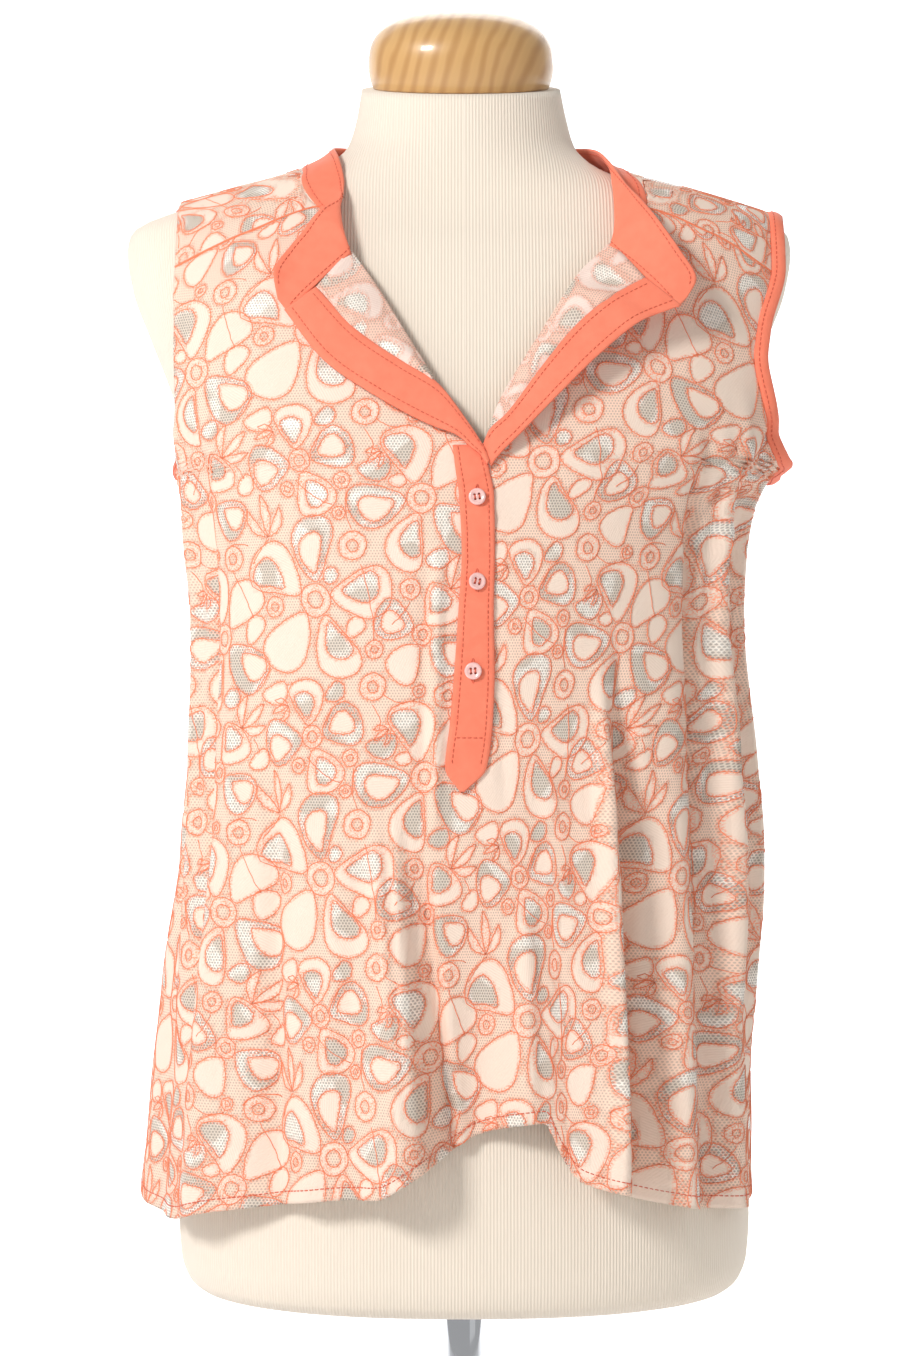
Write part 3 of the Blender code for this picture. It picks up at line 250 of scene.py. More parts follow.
# soft creases: start turn and height, end turn and height, depth out (+) or in (-), half width
creases = [
    # front
    (-80, 0.730, -77, 0.440, -0.0070, 0.0085),
    (-72, 0.742, -70, 0.450, 0.0066, 0.0080),
    (-64, 0.720, -63, 0.410, -0.0066, 0.0085),
    (-56, 0.690, -55, 0.500, 0.0016, 0.0080),
    (-16.5, 0.520, -9.5, 0.340, 0.0070, 0.0060),
    (-10.5, 0.500, -3.5, 0.350, -0.0085, 0.0075),
    (31.5, 0.600, 32.0, 0.320, 0.0055, 0.0055),
    (36.0, 0.610, 37.5, 0.310, -0.0080, 0.0065),
    (-46.0, 0.560, -44.0, 0.330, -0.0040, 0.0090),
    (-6.5, 0.672, -7.0, 0.532, 0.0036, 0.0060),
    (-9.5, 0.668, -10.5, 0.540, -0.0016, 0.0060),
    (8.5, 0.640, 9.5, 0.540, -0.0012, 0.0060),
    (56, 0.735, 55, 0.450, -0.0110, 0.0085),
    (63.5, 0.742, 63, 0.420, 0.0110, 0.0080),
    (71, 0.738, 70, 0.410, -0.0130, 0.0085),
    (78, 0.735, 77, 0.430, 0.0090, 0.0075),
    (84, 0.728, 83, 0.450, -0.0080, 0.0070),
    (-21, 0.520, -11.5, 0.330, 0.0060, 0.0100),
    (-14, 0.500, -4.5, 0.340, -0.0060, 0.0100),
    (31.5, 0.580, 33.5, 0.320, 0.0070, 0.0085),
    (38, 0.600, 40, 0.310, -0.0085, 0.0090),
    (74, 0.752, 56, 0.690, -0.0022, 0.0070),
    (76, 0.738, 60, 0.668, 0.0020, 0.0060),
    (-70, 0.752, -52, 0.700, -0.0018, 0.0080),
    (20, 0.560, 25, 0.420, 0.0018, 0.0120),
    (-28, 0.520, -31, 0.380, 0.0020, 0.0120),
    (14, 0.480, 15, 0.370, 0.0030, 0.0090),
    # back
    (98, 0.728, 101, 0.480, -0.0032, 0.0080),
    (107, 0.745, 110, 0.520, 0.0026, 0.0080),
    (119, 0.760, 124, 0.600, -0.0020, 0.0100),
    (140, 0.640, 143, 0.440, -0.0020, 0.0120),
    (166, 0.600, 168, 0.430, 0.0018, 0.0110),
    (-97, 0.728, -99, 0.480, 0.0026, 0.0080),
    (-106, 0.745, -110, 0.520, -0.0026, 0.0080),
    (-118, 0.752, -125, 0.590, 0.0022, 0.0100),
    (-143, 0.640, -145, 0.420, -0.0018, 0.0120),
    (-168, 0.560, -166, 0.400, 0.0016, 0.0110),
    (150, 0.850, 140, 0.760, -0.0012, 0.0140),
    (-150, 0.850, -140, 0.760, -0.0012, 0.0140),
]


# reading the tables
def read(table, name, at):
    names, rows = table
    grid = np.array(rows, dtype=float)
    spot, value = grid[:, 0], grid[:, names.index(name)]
    step = np.diff(spot)
    rise = np.diff(value) / step
    slope = np.zeros(len(spot))
    slope[0], slope[-1] = rise[0], rise[-1]
    for row in range(1, len(spot) - 1):
        before, after = rise[row - 1], rise[row]
        if before * after > 0:
            slope[row] = 2.0 * before * after / (before + after)
    at = np.clip(np.asarray(at, dtype=float), spot[0], spot[-1])
    low = np.clip(np.searchsorted(spot, at, side="right") - 1, 0, len(spot) - 2)
    t = (at - spot[low]) / step[low]
    start = (2 * t**3 - 3 * t**2 + 1) * value[low] + (t**3 - 2 * t**2 + t) * step[low] * slope[low]
    end = (3 * t**2 - 2 * t**3) * value[low + 1] + (t**3 - t**2) * step[low] * slope[low + 1]
    return start + end


def blend(start, end, share):
    return start + (end - start) * share


def smoothStep(share):
    share = np.clip(share, 0.0, 1.0)
    return share * share * (3.0 - 2.0 * share)


def unit(vectors):
    return vectors / np.maximum(np.linalg.norm(vectors, axis=-1, keepdims=True), 1e-12)


def runOf(points):
    # length along a line up to each of its points
    return np.concatenate([[0], np.cumsum(np.linalg.norm(np.diff(points, axis=0), axis=1))])


def sample(at, run, values):
    return np.stack([np.interp(at, run, column) for column in values.T], axis=1)


def ringSizes(rings, xSign, ySign, height):
    width = np.where(xSign < 0, read(rings, "left", height), read(rings, "right", height))
    depth = np.where(ySign < 0, read(rings, "front", height), read(rings, "back", height))
    return width, depth, read(rings, "square", height)


def ringReach(rings, turn, height):
    angle = np.radians(np.asarray(turn, dtype=float))
    side, fore = np.sin(angle), -np.cos(angle)
    width, depth, square = ringSizes(rings, side, fore, height)
    return ((np.abs(side) / width) ** square + (np.abs(fore) / depth) ** square) ** (-1.0 / square)


def ringPoint(rings, turn, height):
    angle = np.radians(np.asarray(turn, dtype=float))
    reach = ringReach(rings, turn, height)
    height = np.broadcast_to(height, reach.shape)
    return np.stack([reach * np.sin(angle), -reach * np.cos(angle), height], axis=-1)


def depthAt(rings, x, height, facing):
    width, depth, square = ringSizes(rings, x, facing, height)
    share = np.clip(1.0 - (np.abs(x) / width) ** square, 0.0, 1.0)
    return facing * depth * share ** (1.0 / square)


def crownHeight(x, y):
    # height at which the ring through a point is found, by halving
    low, high = np.full(np.shape(x), crownLow), np.full(np.shape(x), crownHigh)
    halvings = 30
    for _ in range(halvings):
        middle = (low + high) / 2
        width, depth, square = ringSizes(clothRings, x, y, middle)
        inside = (np.abs(x) / width) ** square + (np.abs(y) / depth) ** square < 1.0
        low, high = np.where(inside, middle, low), np.where(inside, high, middle)
    return low


def turnOf(points):
    return np.degrees(np.arctan2(points[..., 0], -points[..., 1]))


# how the cloth hangs
def hump(away, half):
    # a rounded fold: 1 in its middle, 0 at half its width to both sides
    return np.cos(np.clip(away / half, -1.0, 1.0) * math.pi / 2) ** 2


def turnFrom(turn, middle):
    return (turn - middle + 180.0) % 360.0 - 180.0


def clothOut(turn, height):
    # main folds, the listed creases and a faint unevenness, as a distance out from the axis
    total = np.zeros(np.broadcast(turn, height).shape)
    for hemTurn, topTurn, top, depth, halfTurn in mainFolds:
        drop = np.clip((top - height) / (top - hanging["foldFoot"]), 0.0, 1.0)
        away = turnFrom(turn, blend(topTurn, hemTurn, drop))
        total = total + depth * smoothStep(drop) * hump(away, halfTurn)
    past, (begin, deepen), (end, fade) = (hanging[key] for key in ("creaseReach", "creaseStart", "creaseEnd"))
    for startTurn, startZ, endTurn, endZ, depth, halfWidth in creases:
        along = np.clip((startZ - height) / (startZ - endZ), -past, 1.0 + past)
        away = np.radians(turnFrom(turn, blend(startTurn, endTurn, along))) * hanging["creaseRadius"]
        taper = smoothStep((along - begin) / deepen) * smoothStep((end - along) / fade)
        total = total + depth * taper * hump(away, halfWidth)
    ripple = np.sin(turn * 0.171 + height * 31.0) * np.sin(height * 57.0 - turn * 0.043)
    ripple = ripple + 0.6 * np.sin(turn * 0.37 + 1.3 + height * 12.0) * np.sin(height * 103.0 + turn * 0.09)
    depth, top, fade = hanging["ripple"]
    return total + depth * ripple * smoothStep((top - height) / fade)


def drape(points, inward=0.0):
    # pushes points of the smooth rings out by the folds, and keeps them off the form
    turn = turnOf(points)
    height = points[..., 2]
    reach = np.hypot(points[..., 0], points[..., 1])
    end, fade = hanging["foldsEnd"]
    wanted = reach + clothOut(turn, height) * smoothStep((end - height) / fade) - inward
    body = ringReach(torsoRings, turn, height) + hanging["clear"]
    grown = np.maximum(wanted, np.minimum(body, reach)) / reach
    return np.stack([points[..., 0] * grown, points[..., 1] * grown, height], axis=-1)


def overFront(x, height, lift):
    # points seen at x and height from the front, lifted off the front panel
    x, height, lift = np.broadcast_arrays(x, height, lift)
    flat = np.stack([x, depthAt(clothRings, x, height, -1), height], axis=-1)
    turn = turnOf(flat)
    hung = drape(flat)
    push = np.hypot(hung[..., 0], hung[..., 1]) - np.hypot(flat[..., 0], flat[..., 1])
    return np.stack([x, flat[..., 1] - push * np.cos(np.radians(turn)) - lift, height], axis=-1)


# side is -1 for the viewer's left and 1 for the right
def lapelOf(side):
    return leftLapel if side < 0 else rightLapel


def rollX(side, height):
    rows = lapelOf(side)[1]
    line = (("z", "x"), [(vHeight - 0.002, vX)] + [(row[2], row[1]) for row in rows[1:]])
    return read(line, "x", height)


def sideName(side):
    return "Left" if side < 0 else "Right"


def armholeTurn(side, face, height):
    return side * read(armholeLine, face + sideName(side), height)


def placketMiddle(height):
    return (read(placketEdges, "leftX", height) + read(placketEdges, "rightX", height)) / 2


def frontPoint(side, across, up, rise=0.0, inward=0.0, folded=True):
    # across 0 at the slit or roll line, 1 at the side; up 0 at the hem, 1 at the V, 2 at the top edge
    across, up = np.broadcast_arrays(np.asarray(across, dtype=float), np.asarray(up, dtype=float))
    height = blend(read(hemLine, "height", side * 90.0 * across), vHeight, np.minimum(up, 1.0)) + rise
    bend, (half, depth) = hanging["slitBend"], hanging["slit"]
    centreX = blend(placketMiddle(height), vX, smoothStep((height - bend) / (vHeight - bend)))
    centre = np.degrees(np.arctan2(centreX + half * side * (height > slitFoot), depth))
    low = ringPoint(clothRings, blend(centre, armholeTurn(side, "front", height), across), height)
    share = np.maximum(up - 1.0, 0.0)
    top = blend(vHeight, read(frontTop, sideName(side).lower(), across), share)
    innerX = rollX(side, top)
    inner = np.degrees(np.arctan2(innerX, -depthAt(clothRings, innerX, top, -1)))
    outer = armholeTurn(side, "front", top)
    edge = ringPoint(clothRings, outer, top)[..., 0]
    turned = ringPoint(clothRings, blend(inner, outer, across), top)[..., 0]
    x = blend(turned, blend(innerX, edge, across), share)
    high = np.stack([x, depthAt(clothRings, x, top, -1), top], axis=-1)
    points = np.where((up <= 1.0)[..., None], low, high)
    return drape(points, inward) if folded else points


def necklinePoint(side, share):
    name = sideName(side).lower()
    turn = side * read(neckline, name + "Turn", share)
    return ringPoint(clothRings, turn, read(neckline, name + "Height", share))


def neckReach(side, turn):
    first = 1 if side < 0 else 3
    rows = [(row[first], row[first + 1]) for row in neckline[1]]
    reach = ringReach(clothRings, side * turn, read((("turn", "height"), rows), "height", turn))
    return np.where(turn < rows[0][0], 0.0, reach)


def backPoint(side, inward, up, rise=0.0, tuck=0.0, folded=True):
    # inward 0 at the side, 1 at the middle of the back; up 0 hem, 1 underarm, 2 crown foot, 3 top edge
    inward, up = np.broadcast_arrays(np.asarray(inward, dtype=float), np.asarray(up, dtype=float))
    hem = read(hemLine, "height", side * blend(90.0, 180.0, inward))
    height = blend(hem, underarm, np.minimum(up, 1.0)) + rise
    low = ringPoint(clothRings, side * blend(90.0, 180.0, inward), height)
    lift = np.clip(up - 1.0, 0.0, 1.0)
    height = blend(underarm, crownFoot, lift)
    edge = np.abs(armholeTurn(side, "back", height))
    even = blend(edge, 180.0, inward)
    bent = np.where(inward < 0.5, blend(edge, shoulderTurn, inward / 0.5),
                    blend(shoulderTurn, 180.0, (inward - 0.5) / 0.5))
    middle = ringPoint(clothRings, side * blend(even, bent, smoothStep(lift)), height)
    seam = frontPoint(side, 1.0 - (1.0 - seamStart) * np.minimum(inward, 0.5) / 0.5, np.full(up.shape, 2.0))
    neck = necklinePoint(side, np.clip((inward - 0.5) / 0.5, 0.0, 1.0))
    end = np.where((inward < 0.5)[..., None], seam, neck)
    share = np.clip(up - 2.0, 0.0, 1.0)
    over = 0.5 - 0.5 * np.cos(math.pi * share)
    pace = blend(share, over, smoothStep((middle[..., 1] - end[..., 1]) / crownReach))
    x = blend(middle[..., 0], end[..., 0], pace)
    y = blend(middle[..., 1], end[..., 1], pace)
    clear = neckReach(side, np.degrees(np.arctan2(side * x, -y))) * (1.0 + neckEase * (1.0 - share))
    grow = np.maximum(1.0, clear / np.hypot(x, y))
    high = np.stack([x * grow, y * grow, crownHeight(x * grow, y * grow)], axis=-1)
    points = np.where((up <= 1.0)[..., None], low, np.where((up <= 2.0)[..., None], middle, high))
    return drape(points, tuck) if folded else points


# meshes
def gridFaces(rows, columns, start=0):
    here = start + np.arange(rows - 1)[:, None] * columns + np.arange(columns - 1)[None, :]
    return np.stack([here, here + 1, here + columns + 1, here + columns], axis=-1).reshape(-1, 4)


def ringFaces(rows, columns):
    # the skin of a round body: rings joined from the bottom up, and both ends shut
    here = np.arange(rows - 1)[:, None] * columns + np.arange(columns)[None, :]
    beside = np.roll(here, -1, axis=1)
    faces = np.stack([here, beside, beside + columns, here + columns], axis=-1).reshape(-1, 4).tolist()
    return faces + [list(reversed(range(columns))), list(range((rows - 1) * columns, rows * columns))]


def gridNormals(grid):
    along = np.gradient(grid, axis=0)
    across = np.gradient(grid, axis=1)
    return unit(np.cross(across, along))


def newPiece(name, points, faces, material, replaced=(), layers=None):
    mesh = bpy.data.meshes.new(name)
    mesh.from_pydata(np.asarray(points, dtype=float).tolist(), [], [tuple(face) for face in faces])
    for layer, values in (layers or {}).items():
        values = np.asarray(values, dtype=np.float32)
        kind = "FLOAT_VECTOR" if values.ndim == 2 else "FLOAT"
        made = mesh.attributes.new(layer, kind, "POINT")
        made.data.foreach_set("vector" if values.ndim == 2 else "value", values.ravel())
    mesh.validate()
    mesh.materials.append(material)
    mesh.shade_smooth()
    piece = bpy.data.objects.new(name, mesh)
    collection.objects.link(piece)
    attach(piece, "root")
    if replaced:
        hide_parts(*replaced)
    return piece


def shellOf(grid, wall, wrap=False):
    # closed cloth wall with rounded long edges through a grid of points
    rows, columns = grid.shape[:2]
    normal = gridNormals(np.concatenate([grid[-1:], grid, grid[:1]]) if wrap else grid)
    normal = normal[1:-1] if wrap else normal
    front, behind = grid + normal * wall / 2, grid - normal * wall / 2
    first = grid[:, :1] + unit(grid[:, :1] - grid[:, 1:2]) * wall / 2
    last = grid[:, -1:] + unit(grid[:, -1:] - grid[:, -2:-1]) * wall / 2
    ring = np.concatenate([first, front, last, behind[:, ::-1], first], axis=1)[:, :-1]
    around = ring.shape[1]
    row = np.arange(rows if wrap else rows - 1)[:, None]
    spot = np.arange(around)[None, :]
    here, beside = row * around + spot, row * around + (spot + 1) % around
    above, corner = ((row + 1) % rows) * around + spot, ((row + 1) % rows) * around + (spot + 1) % around
    faces = [tuple(face) for face in np.stack([here, beside, corner, above], axis=-1).reshape(-1, 4)]
    if not wrap:
        for start, flip in ((0, True), ((rows - 1) * around, False)):
            ends = [(start, start + 1, start + around - 1)]
            for k in range(columns - 1):
                ends.append((start + 1 + k, start + 2 + k, start + around - 2 - k, start + around - 1 - k))
            ends.append((start + columns, start + columns + 1, start + columns + 2))
            faces += [tuple(reversed(face)) if flip else face for face in ends]
    return ring.reshape(-1, 3), faces


def weldGrids(grids, layers):
    # one list of points and faces out of several grids whose edges meet
    points = np.concatenate([grid.reshape(-1, 3) for grid in grids])
    faces, start = [], 0
    for grid in grids:
        faces.append(gridFaces(grid.shape[0], grid.shape[1], start))
        start += grid.shape[0] * grid.shape[1]
    _, first, place = np.unique(np.round(points, 5), axis=0, return_index=True, return_inverse=True)
    place = place.reshape(-1)
    welded = []
    for face in place[np.concatenate(faces)].tolist():
        corners = [corner for k, corner in enumerate(face) if corner != face[k - 1]]
        if len(set(corners)) >= 3 and len(set(corners)) == len(corners):
            welded.append(tuple(corners))
    joined = {name: np.concatenate([part.reshape(-1, part.shape[-1]) for part in parts])[first]
              for name, parts in layers.items()}
    return points[first], welded, joined


def pointNormals(points, faces):
    # in a triangle the last corner stands twice, and its two sides then give the normal
    a, b, c, d = np.array([(face[0], face[1], face[2], face[-1]) for face in faces]).T
    normal = np.cross(points[c] - points[a], points[d] - points[b])
    flat = np.cross(points[b] - points[a], points[c] - points[a])
    normal[c == d] = flat[c == d]
    total = np.zeros_like(points)
    for corner in (a, b, c, d):
        np.add.at(total, corner, normal)
    return unit(total)


def clothShell(points, faces, wall):
    # the cloth's two sides, joined along its raw edges
    count = len(points)
    normal = pointNormals(points, faces)
    edges = {(face[k - 1], face[k]) for face in faces for k in range(len(face))}
    rim = [(b, a, a + count, b + count) for a, b in edges if (b, a) not in edges]
    behind = [tuple(corner + count for corner in reversed(face)) for face in faces]
    both = np.concatenate([points + normal * wall / 2, points - normal * wall / 2])
    return both, list(faces) + behind + rim, normal


# the lace's floral repeat, charted in millimetres
def turned(points, x, y, angle):
    angle = math.radians(angle)
    along, across = points[:, 0], points[:, 1]
    return np.stack([x + along * math.cos(angle) - across * math.sin(angle),
                     y + along * math.sin(angle) + across * math.cos(angle)], axis=1)


def petal(x, y, angle, length, width, bend=0.0, blunt=0.5, count=26):
    spin = np.linspace(0, 2 * math.pi, count, endpoint=False)
    along = (1 - np.cos(spin)) / 2
    across = np.sin(spin) * (1 - blunt + blunt * 1.5 * along) * width / 2
    across = across + bend * length * 4 * along * (along - 1)
    return turned(np.stack([along * length, across], axis=1), x, y, angle)


def leaf(x, y, angle, length, width, bend=0.0, count=20):
    spin = np.linspace(0, 2, count, endpoint=False)
    along = np.where(spin < 1, spin, 2 - spin)
    across = np.where(spin < 1, -1, 1) * np.sin(math.pi * along) ** 0.9 * width / 2
    across = across + bend * length * 4 * along * (along - 1)
    return turned(np.stack([along * length, across], axis=1), x, y, angle)


def oval(x, y, radius, squash=1.0, angle=0.0, count=18):
    spin = np.linspace(0, 2 * math.pi, count, endpoint=False)
    return turned(np.stack([radius * np.cos(spin), radius * squash * np.sin(spin)], axis=1), x, y, angle)


def stem(startX, startY, overX, overY, endX, endY, count=16):
    t = np.linspace(0, 1, count)[:, None]
    start, over, end = np.array([[startX, startY]]), np.array([[overX, overY]]), np.array([[endX, endY]])
    return (1 - t) ** 2 * start + 2 * t * (1 - t) * over + t * t * end


lace = {
    "repeat": (118.0, 134.0),       # width and height in millimetres; every other column drops by half
    "scale": 1.16,                  # how much larger it is knitted
    "wall": 0.0006,                 # metres
    "cord": 0.00056,                # metres, half the cord's thickness
    "grid": 0.00232,                # metres between the points of the front, and of the back
    "backGrid": 0.0027,
    # metres that the points are counted for: a quarter of the hem's round, then upward stretch by stretch
    "frontSpans": (0.205, 0.4227, 0.125),
    "backSpans": (0.225, 0.43, 0.137, 0.13),
    "hemTurn": 0.0085,              # height of the turned hem
    "spacing": 2.4,                 # millimetres between the points of a cord
    "away": 2000.0,                 # added to the flat millimetres, so that the net's stay above zero
    "front": (0.0, 62.0),           # where the repeat starts on each panel, in millimetres
    "back": (41.0, 20.0),
}
# flowers: x, y, first petal's angle, reach, petals
flowers = [
    (30, 36, 12, 41, 5), (87, 85, 40, 37, 5), (86, 19, 62, 26, 4), (27, 104, 14, 28, 4),
]
# seed heads: x, y, radius
seedHeads = [
    (60, 128, 7.0), (51, 62, 7.4), (99, 124, 6.6), (80, 41, 5.4), (6, 33, 5.4), (61, 12, 4.8), (48, 94, 4.4),
    (19, 90, 4.0), (45, 78, 3.6), (84, 126, 3.4),
]
# sprays of three leaves: x, y, middle leaf's angle, length
sprays = [(5, 67, 95, 21), (101, 41, 38, 20), (14, 119, 200, 11), (68, 108, 220, 10)]
# single beans: x, y, angle, length, width, bend, filled solid or open
beans = [
    (56, 99, 15, 17, 12, 0.15, False), (-2, 124, 15, 16, 11, 0.12, True), (106, 82, 52, 16, 12, -0.12, True),
    (88, 54, 20, 13, 10, 0.1, False), (107, 22, 38, 13, 9, 0.1, True), (35, 122, 42, 12, 9, 0.1, False),
    (47, 18, 42, 12, 9, -0.1, True), (36, 44, 50, 9, 8, 0.0, False), (71, 93, 8, 9, 7, 0.0, True),
]
# lone cords: start, bending over to the end
stems = [
    (60, 119, 66, 112, 63, 107), (51, 70, 47, 78, 50, 89), (99, 117, 104, 104, 109, 95),
    (5, 66, -2, 60, -6, 54), (109, 36, 112, 32, 113, 29), (61, 17, 60, 36, 55, 53), (80, 35, 76, 28, 70, 24),
    (38, 118, 36, 112, 34, 108), (66, 124, 74, 118, 82, 122), (92, 126, 100, 134, 110, 130),
    (24, 94, 34, 84, 42, 82), (112, 60, 118, 66, 122, 70),
]


def drawRepeat():
    # closed shapes as (kind, outline, hole, angle of the weave), and every corded line as (points, closed)
    shapes, cords = [], []

    def closed(kind, outline, hole=None, angle=0.0):
        shapes.append((kind, outline, hole, angle))
        cords.append((outline, True))
        if hole is not None:
            cords.append((hole, True))

    bends, widths, insets = (0.10, -0.12, 0.16, -0.08, 0.12), (1.0, 0.88, 1.06), (0.20, 0.12, 0.30)
    for number, (x, y, first, reach, count) in enumerate(flowers):
        eye = 0.20 * reach
        closed("toile", oval(x, y, eye), oval(x, y, eye * 0.52))
        for k in range(count):
            angle = first + 360.0 * k / count
            baseX = x + eye * 1.05 * math.cos(math.radians(angle))
            baseY = y + eye * 1.05 * math.sin(math.radians(angle))
            length, bend = reach - eye, bends[(k + number) % 5]
            width = length * (0.80 if count == 5 else 1.02) * widths[(k + number) % 3]
            outline = petal(baseX, baseY, angle, length, width, bend)
            away, way = insets[(k + number) % 3] * length, math.radians(angle + 8)
            inner = petal(baseX + away * math.cos(way), baseY + away * math.sin(way), angle + 5,
                          length * 0.62, width * 0.56, bend * 1.2)
            if (2 * k + number) % 5 == 1:
                closed("toile", outline, None, angle + 90)
            elif (k + number) % 2:
                closed("sheer", outline, None, angle)
                closed("solid", inner, None, angle + 90)
            else:
                closed("toile", outline, inner, angle + 90)
                shapes.append(("sheer", inner, None, angle))
    for x, y, radius in seedHeads:
        closed("toile", oval(x, y, radius, 0.92, 30), oval(x, y, radius * 0.42))
    for x, y, angle, length in sprays:
        for turn, share, bend in ((-34, 0.82, 0.12), (0, 1.0, 0.04), (36, 0.86, -0.14)):
            way = angle + turn
            closed("toile", leaf(x, y, way, length * share, length * 0.24, bend), None, way)
    for x, y, angle, length, width, bend, solid in beans:
        outline = petal(x, y, angle, length, width, bend, 0.25)
        closed("toile" if solid else "sheer", outline, None, angle + 90)
    for line in stems:
        cords.append((stem(*line), False))
    scale = lace["scale"]
    shapes = [(kind, outline * scale, hole if hole is None else hole * scale, angle)
              for kind, outline, hole, angle in shapes]
    laid = []
    for line, whole in cords:
        # laid by hand, a cord wavers a little
        sway = 0.30 * np.sin(2.1 * line[:, ::-1] + 1.0) + 0.16 * np.sin(4.3 * line[:, ::-1])
        laid.append((line * scale + sway, whole))
    return shapes, laid


def repeats(low, high, start):
    # shifts of the repeat that cover a panel, in millimetres
    wide, tall = (lace["scale"] * size for size in lace["repeat"])
    for column in range(int(low[0] // wide) - 2, int(high[0] // wide) + 3):
        for row in range(int(low[1] // tall) - 2, int(high[1] // tall) + 3):
            yield np.array([start[0] + column * wide, start[1] + row * tall + (column % 2) * tall / 2])


def edgeDistance(points, outline):
    # distance to a closed outline, negative inside it
    start, end = outline, np.roll(outline, -1, axis=0)
    along = end - start
    away = points[:, None, :] - start[None]
    share = np.clip((away * along).sum(-1) / np.maximum((along**2).sum(-1), 1e-9), 0, 1)
    gap = np.sqrt(((away - share[..., None] * along) ** 2).sum(-1).min(1))
    x, y = points[:, None, 0], points[:, None, 1]
    crosses = (start[:, 1] > y) != (end[:, 1] > y)
    spot = start[:, 0] + (y - start[:, 1]) * along[:, 0] / np.where(along[:, 1] == 0, 1e-9, along[:, 1])
    inside = (crosses & (x < spot)).sum(1) % 2 == 1
    return np.where(inside, -gap, gap)


def paintRepeat(uv, shapes, start):
    # how far each point of a panel lies from the dense and from the open fillings, and along its weave
    reach, inner = 5.0, 0.6
    toile, sheer, weave = np.full(len(uv), reach), np.full(len(uv), reach), np.zeros(len(uv))
    order = np.argsort(uv[:, 0])
    sortedU = uv[order, 0]
    least, most = uv.min(0), uv.max(0)
    for shift in repeats(least, most, start):
        for kind, outline, hole, angle in shapes:
            placed = outline + shift
            low, high = placed.min(0) - reach, placed.max(0) + reach
            if (low > most).any() or (high < least).any():
                continue
            near = order[np.searchsorted(sortedU, low[0]) : np.searchsorted(sortedU, high[0])]
            near = near[(uv[near, 1] > low[1]) & (uv[near, 1] < high[1])]
            if not len(near):
                continue
            spot = uv[near]
            gap = edgeDistance(spot, placed)
            if hole is not None:
                gap = np.maximum(gap, -edgeDistance(spot, hole + shift))
            layer = sheer if kind == "sheer" else toile
            layer[near] = np.minimum(layer[near], gap)
            if kind == "solid":
                sheer[near] = np.maximum(sheer[near], -gap)
            inside, way = near[gap < inner], math.radians(angle)
            weave[inside] = uv[inside, 0] * math.cos(way) + uv[inside, 1] * math.sin(way)
    return toile, sheer, weave


def tubes(lines, radius, sides):
    # thin cords along lines of (points, normals, closed)
    points, faces = [], []
    total = 0
    for line, normals, closed in lines:
        count = len(line)
        along = np.roll(line, -1, axis=0) - np.roll(line, 1, axis=0)
        if not closed:
            along[0], along[-1] = line[1] - line[0], line[-1] - line[-2]
        beside = unit(np.cross(along, normals))
        upward = unit(np.cross(beside, along))
        step = np.arange(count if closed else count - 1)
        ahead = (step + 1) % count
        for k in range(sides):
            angle = 2 * math.pi * k / sides + math.pi / 2
            points.append(line + radius * (math.cos(angle) * beside + math.sin(angle) * upward))
            here, beyond = total + k * count, total + ((k + 1) % sides) * count
            faces += np.stack([here + step, here + ahead, beyond + ahead, beyond + step], axis=1).tolist()
        if not closed:
            ring = total + count * np.arange(sides)
            faces += [ring.tolist(), (ring + count - 1)[::-1].tolist()]
        total += sides * count
    return np.concatenate(points), faces


def layCords(points, faces, normals, uv, cords, start, lift):
    # every corded line of the repeat, carried from the flat panel on to the hanging one
    flat = [Vector((u, v, 0.0)) for u, v in uv.tolist()]
    tree = BVHTree.FromPolygons(flat, [list(face) for face in faces])
    down, longest, lines = Vector((0, 0, -1)), 0.012, []
    least, most = uv.min(0), uv.max(0)

    def carried(u, v):
        # the place and outward way on the hanging panel, or None beside it
        spot, _, face, _ = tree.ray_cast(Vector((u, v, 1.0)), down)
        if spot is None:
            return None
        corner = faces[face][:3]
        if len(faces[face]) == 4:
            a, b, c, d = faces[face]
            across = (flat[c] - flat[a]).cross(spot - flat[a]).z
            other = (flat[c] - flat[a]).cross(flat[b] - flat[a]).z
            corner = (a, b, c) if across * other >= 0 else (a, c, d)
        a, b, c = (flat[k] for k in corner)
        real, up = (barycentric_transform(spot, a, b, c, *(Vector(values[k]) for k in corner))
                    for values in (points, normals))
        return real, up.normalized()

    for shift in repeats(least, most, start):
        for line, closed in cords:
            placed = line + shift
            if (placed.max(0) < least).any() or (placed.min(0) > most).any():
                continue
            placed = np.concatenate([placed, placed[:1]]) if closed else placed
            run = runOf(placed)
            count = max(6, int(run[-1] / lace["spacing"]))
            even = sample(np.linspace(0, run[-1], count + 1), run, placed)
            found = [carried(u, v) for u, v in (even[:-1] if closed else even).tolist()]
            gaps = [k for k, spot in enumerate(found) if spot is None]
            whole = closed and not gaps
            if closed and gaps:
                found = found[gaps[0]:] + found[:gaps[0]]
            runs = [[]]
            for spot in found:
                if spot is None:
                    runs.append([])
                else:
                    runs[-1].append(spot)
            for stretch in runs:
                if len(stretch) < 3:
                    continue
                real, up = (np.array([spot[k] for spot in stretch]) for k in (0, 1))
                if np.linalg.norm(np.diff(real, axis=0), axis=1).max() < longest:
                    lines.append((real + up * lift, up, whole))
    return lines


# materials
def paint(hexColour):
    parts = [int(hexColour[k : k + 2], 16) / 255 for k in (1, 3, 5)]
    return tuple(p / 12.92 if p <= 0.04045 else ((p + 0.055) / 1.055) ** 2.4 for p in parts) + (1.0,)


